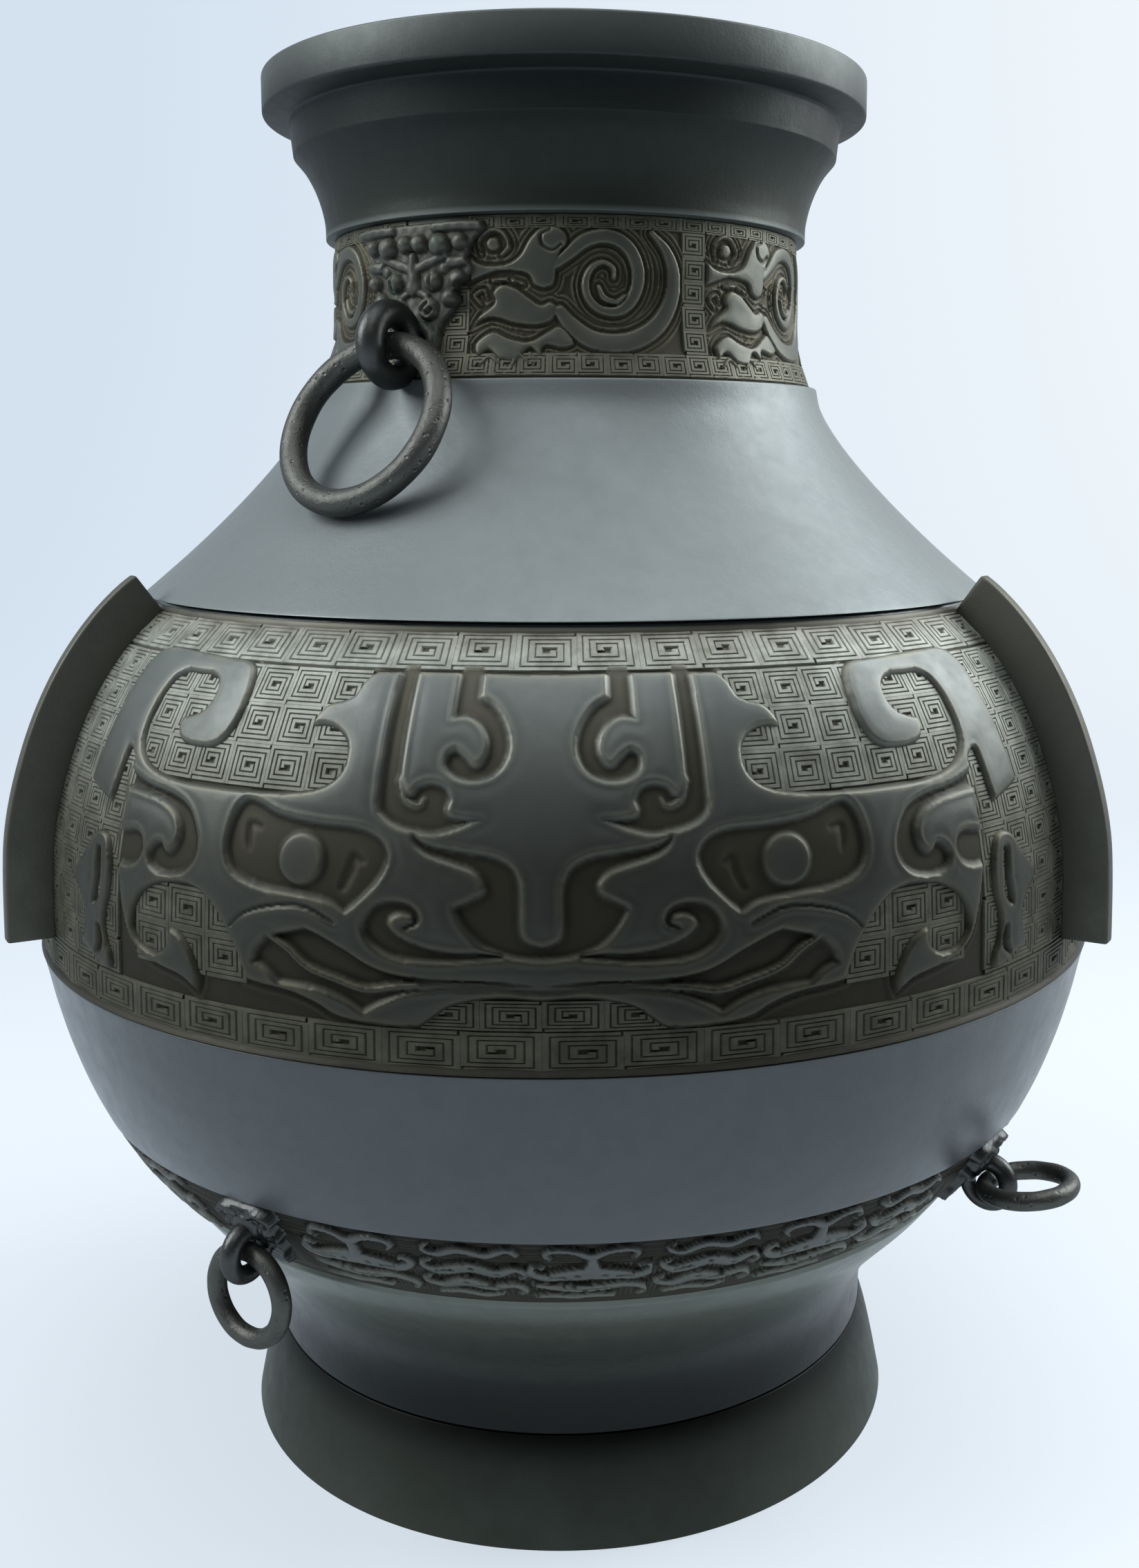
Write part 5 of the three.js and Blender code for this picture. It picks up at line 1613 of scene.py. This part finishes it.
soft_light("overhead", (0.1, -0.05, 1.45), (0, 0, 0.22), 1.5, 1.0, 12)
soft_light("ceiling in front", (-0.3, -1.3, 1.7), (0, 0, 0.25), 1.0, 0.6, 3.5)
soft_light("left side", (-1.15, 0.0, 1.0), (0, 0, 0.22), 0.8, 1.0, 19)
soft_light("right side", (1.1, 0.0, 0.85), (0, 0, 0.2), 0.8, 1.0, 23)

print("lamps:", [lamp.name for lamp in bpy.data.lights])

# %% The room
FILL_BEHIND, FILL_CAMERA_SIDE = (0.3, 0.33, 0.36), (0.03, 0.033, 0.036)
FILL_TURN = (-0.25, 0.5)
AIR_SEEN = (0.78, 0.85, 0.92)
world = bpy.data.worlds.new("pale studio")
bpy.context.scene.world = world
world.use_nodes = True
room = world.node_tree
towards = node(room, "ShaderNodeTexCoord").outputs["Generated"]
facing = reach_along(room, towards, tuple(-c for c in BEHIND))
dim = ranged(room, facing, *FILL_TURN, 0, 1)
fill = mixed(room, dim, FILL_BEHIND, FILL_CAMERA_SIDE)
seen = node(room, "ShaderNodeLightPath").outputs["Is Camera Ray"]
room.links.new(mixed(room, seen, fill, AIR_SEEN), room.nodes["Background"].inputs["Color"])
print("room nodes:", len(room.nodes))

# %% [markdown]
# ## The camera
# It stands where the photographer's camera stood: about half a metre away, above the shoulder and looking
# down a little. The lens is shifted, because the picture is cut from a larger frame.

# %% Camera
CAMERA_PLACE = (-0.1117, -0.4956, 0.2883)
CAMERA_DOWN, CAMERA_TURN = 7.227, -14.83
CAMERA_LENS, CAMERA_SHIFT = 37.75, (-0.0382, -0.0685)
camera_data = bpy.data.cameras.new("photographer")
camera_data.lens = CAMERA_LENS
camera_data.shift_x, camera_data.shift_y = CAMERA_SHIFT
camera_data.clip_start = 0.02
camera = bpy.data.objects.new("photographer", camera_data)
camera.location = CAMERA_PLACE
camera.rotation_euler = (math.radians(90 - CAMERA_DOWN), 0, math.radians(CAMERA_TURN))
bpy.context.scene.collection.objects.link(camera)
bpy.context.scene.camera = camera
bpy.context.scene.view_settings.view_transform = "Standard"
print("camera at", CAMERA_PLACE, "with a lens of", CAMERA_LENS, "mm")
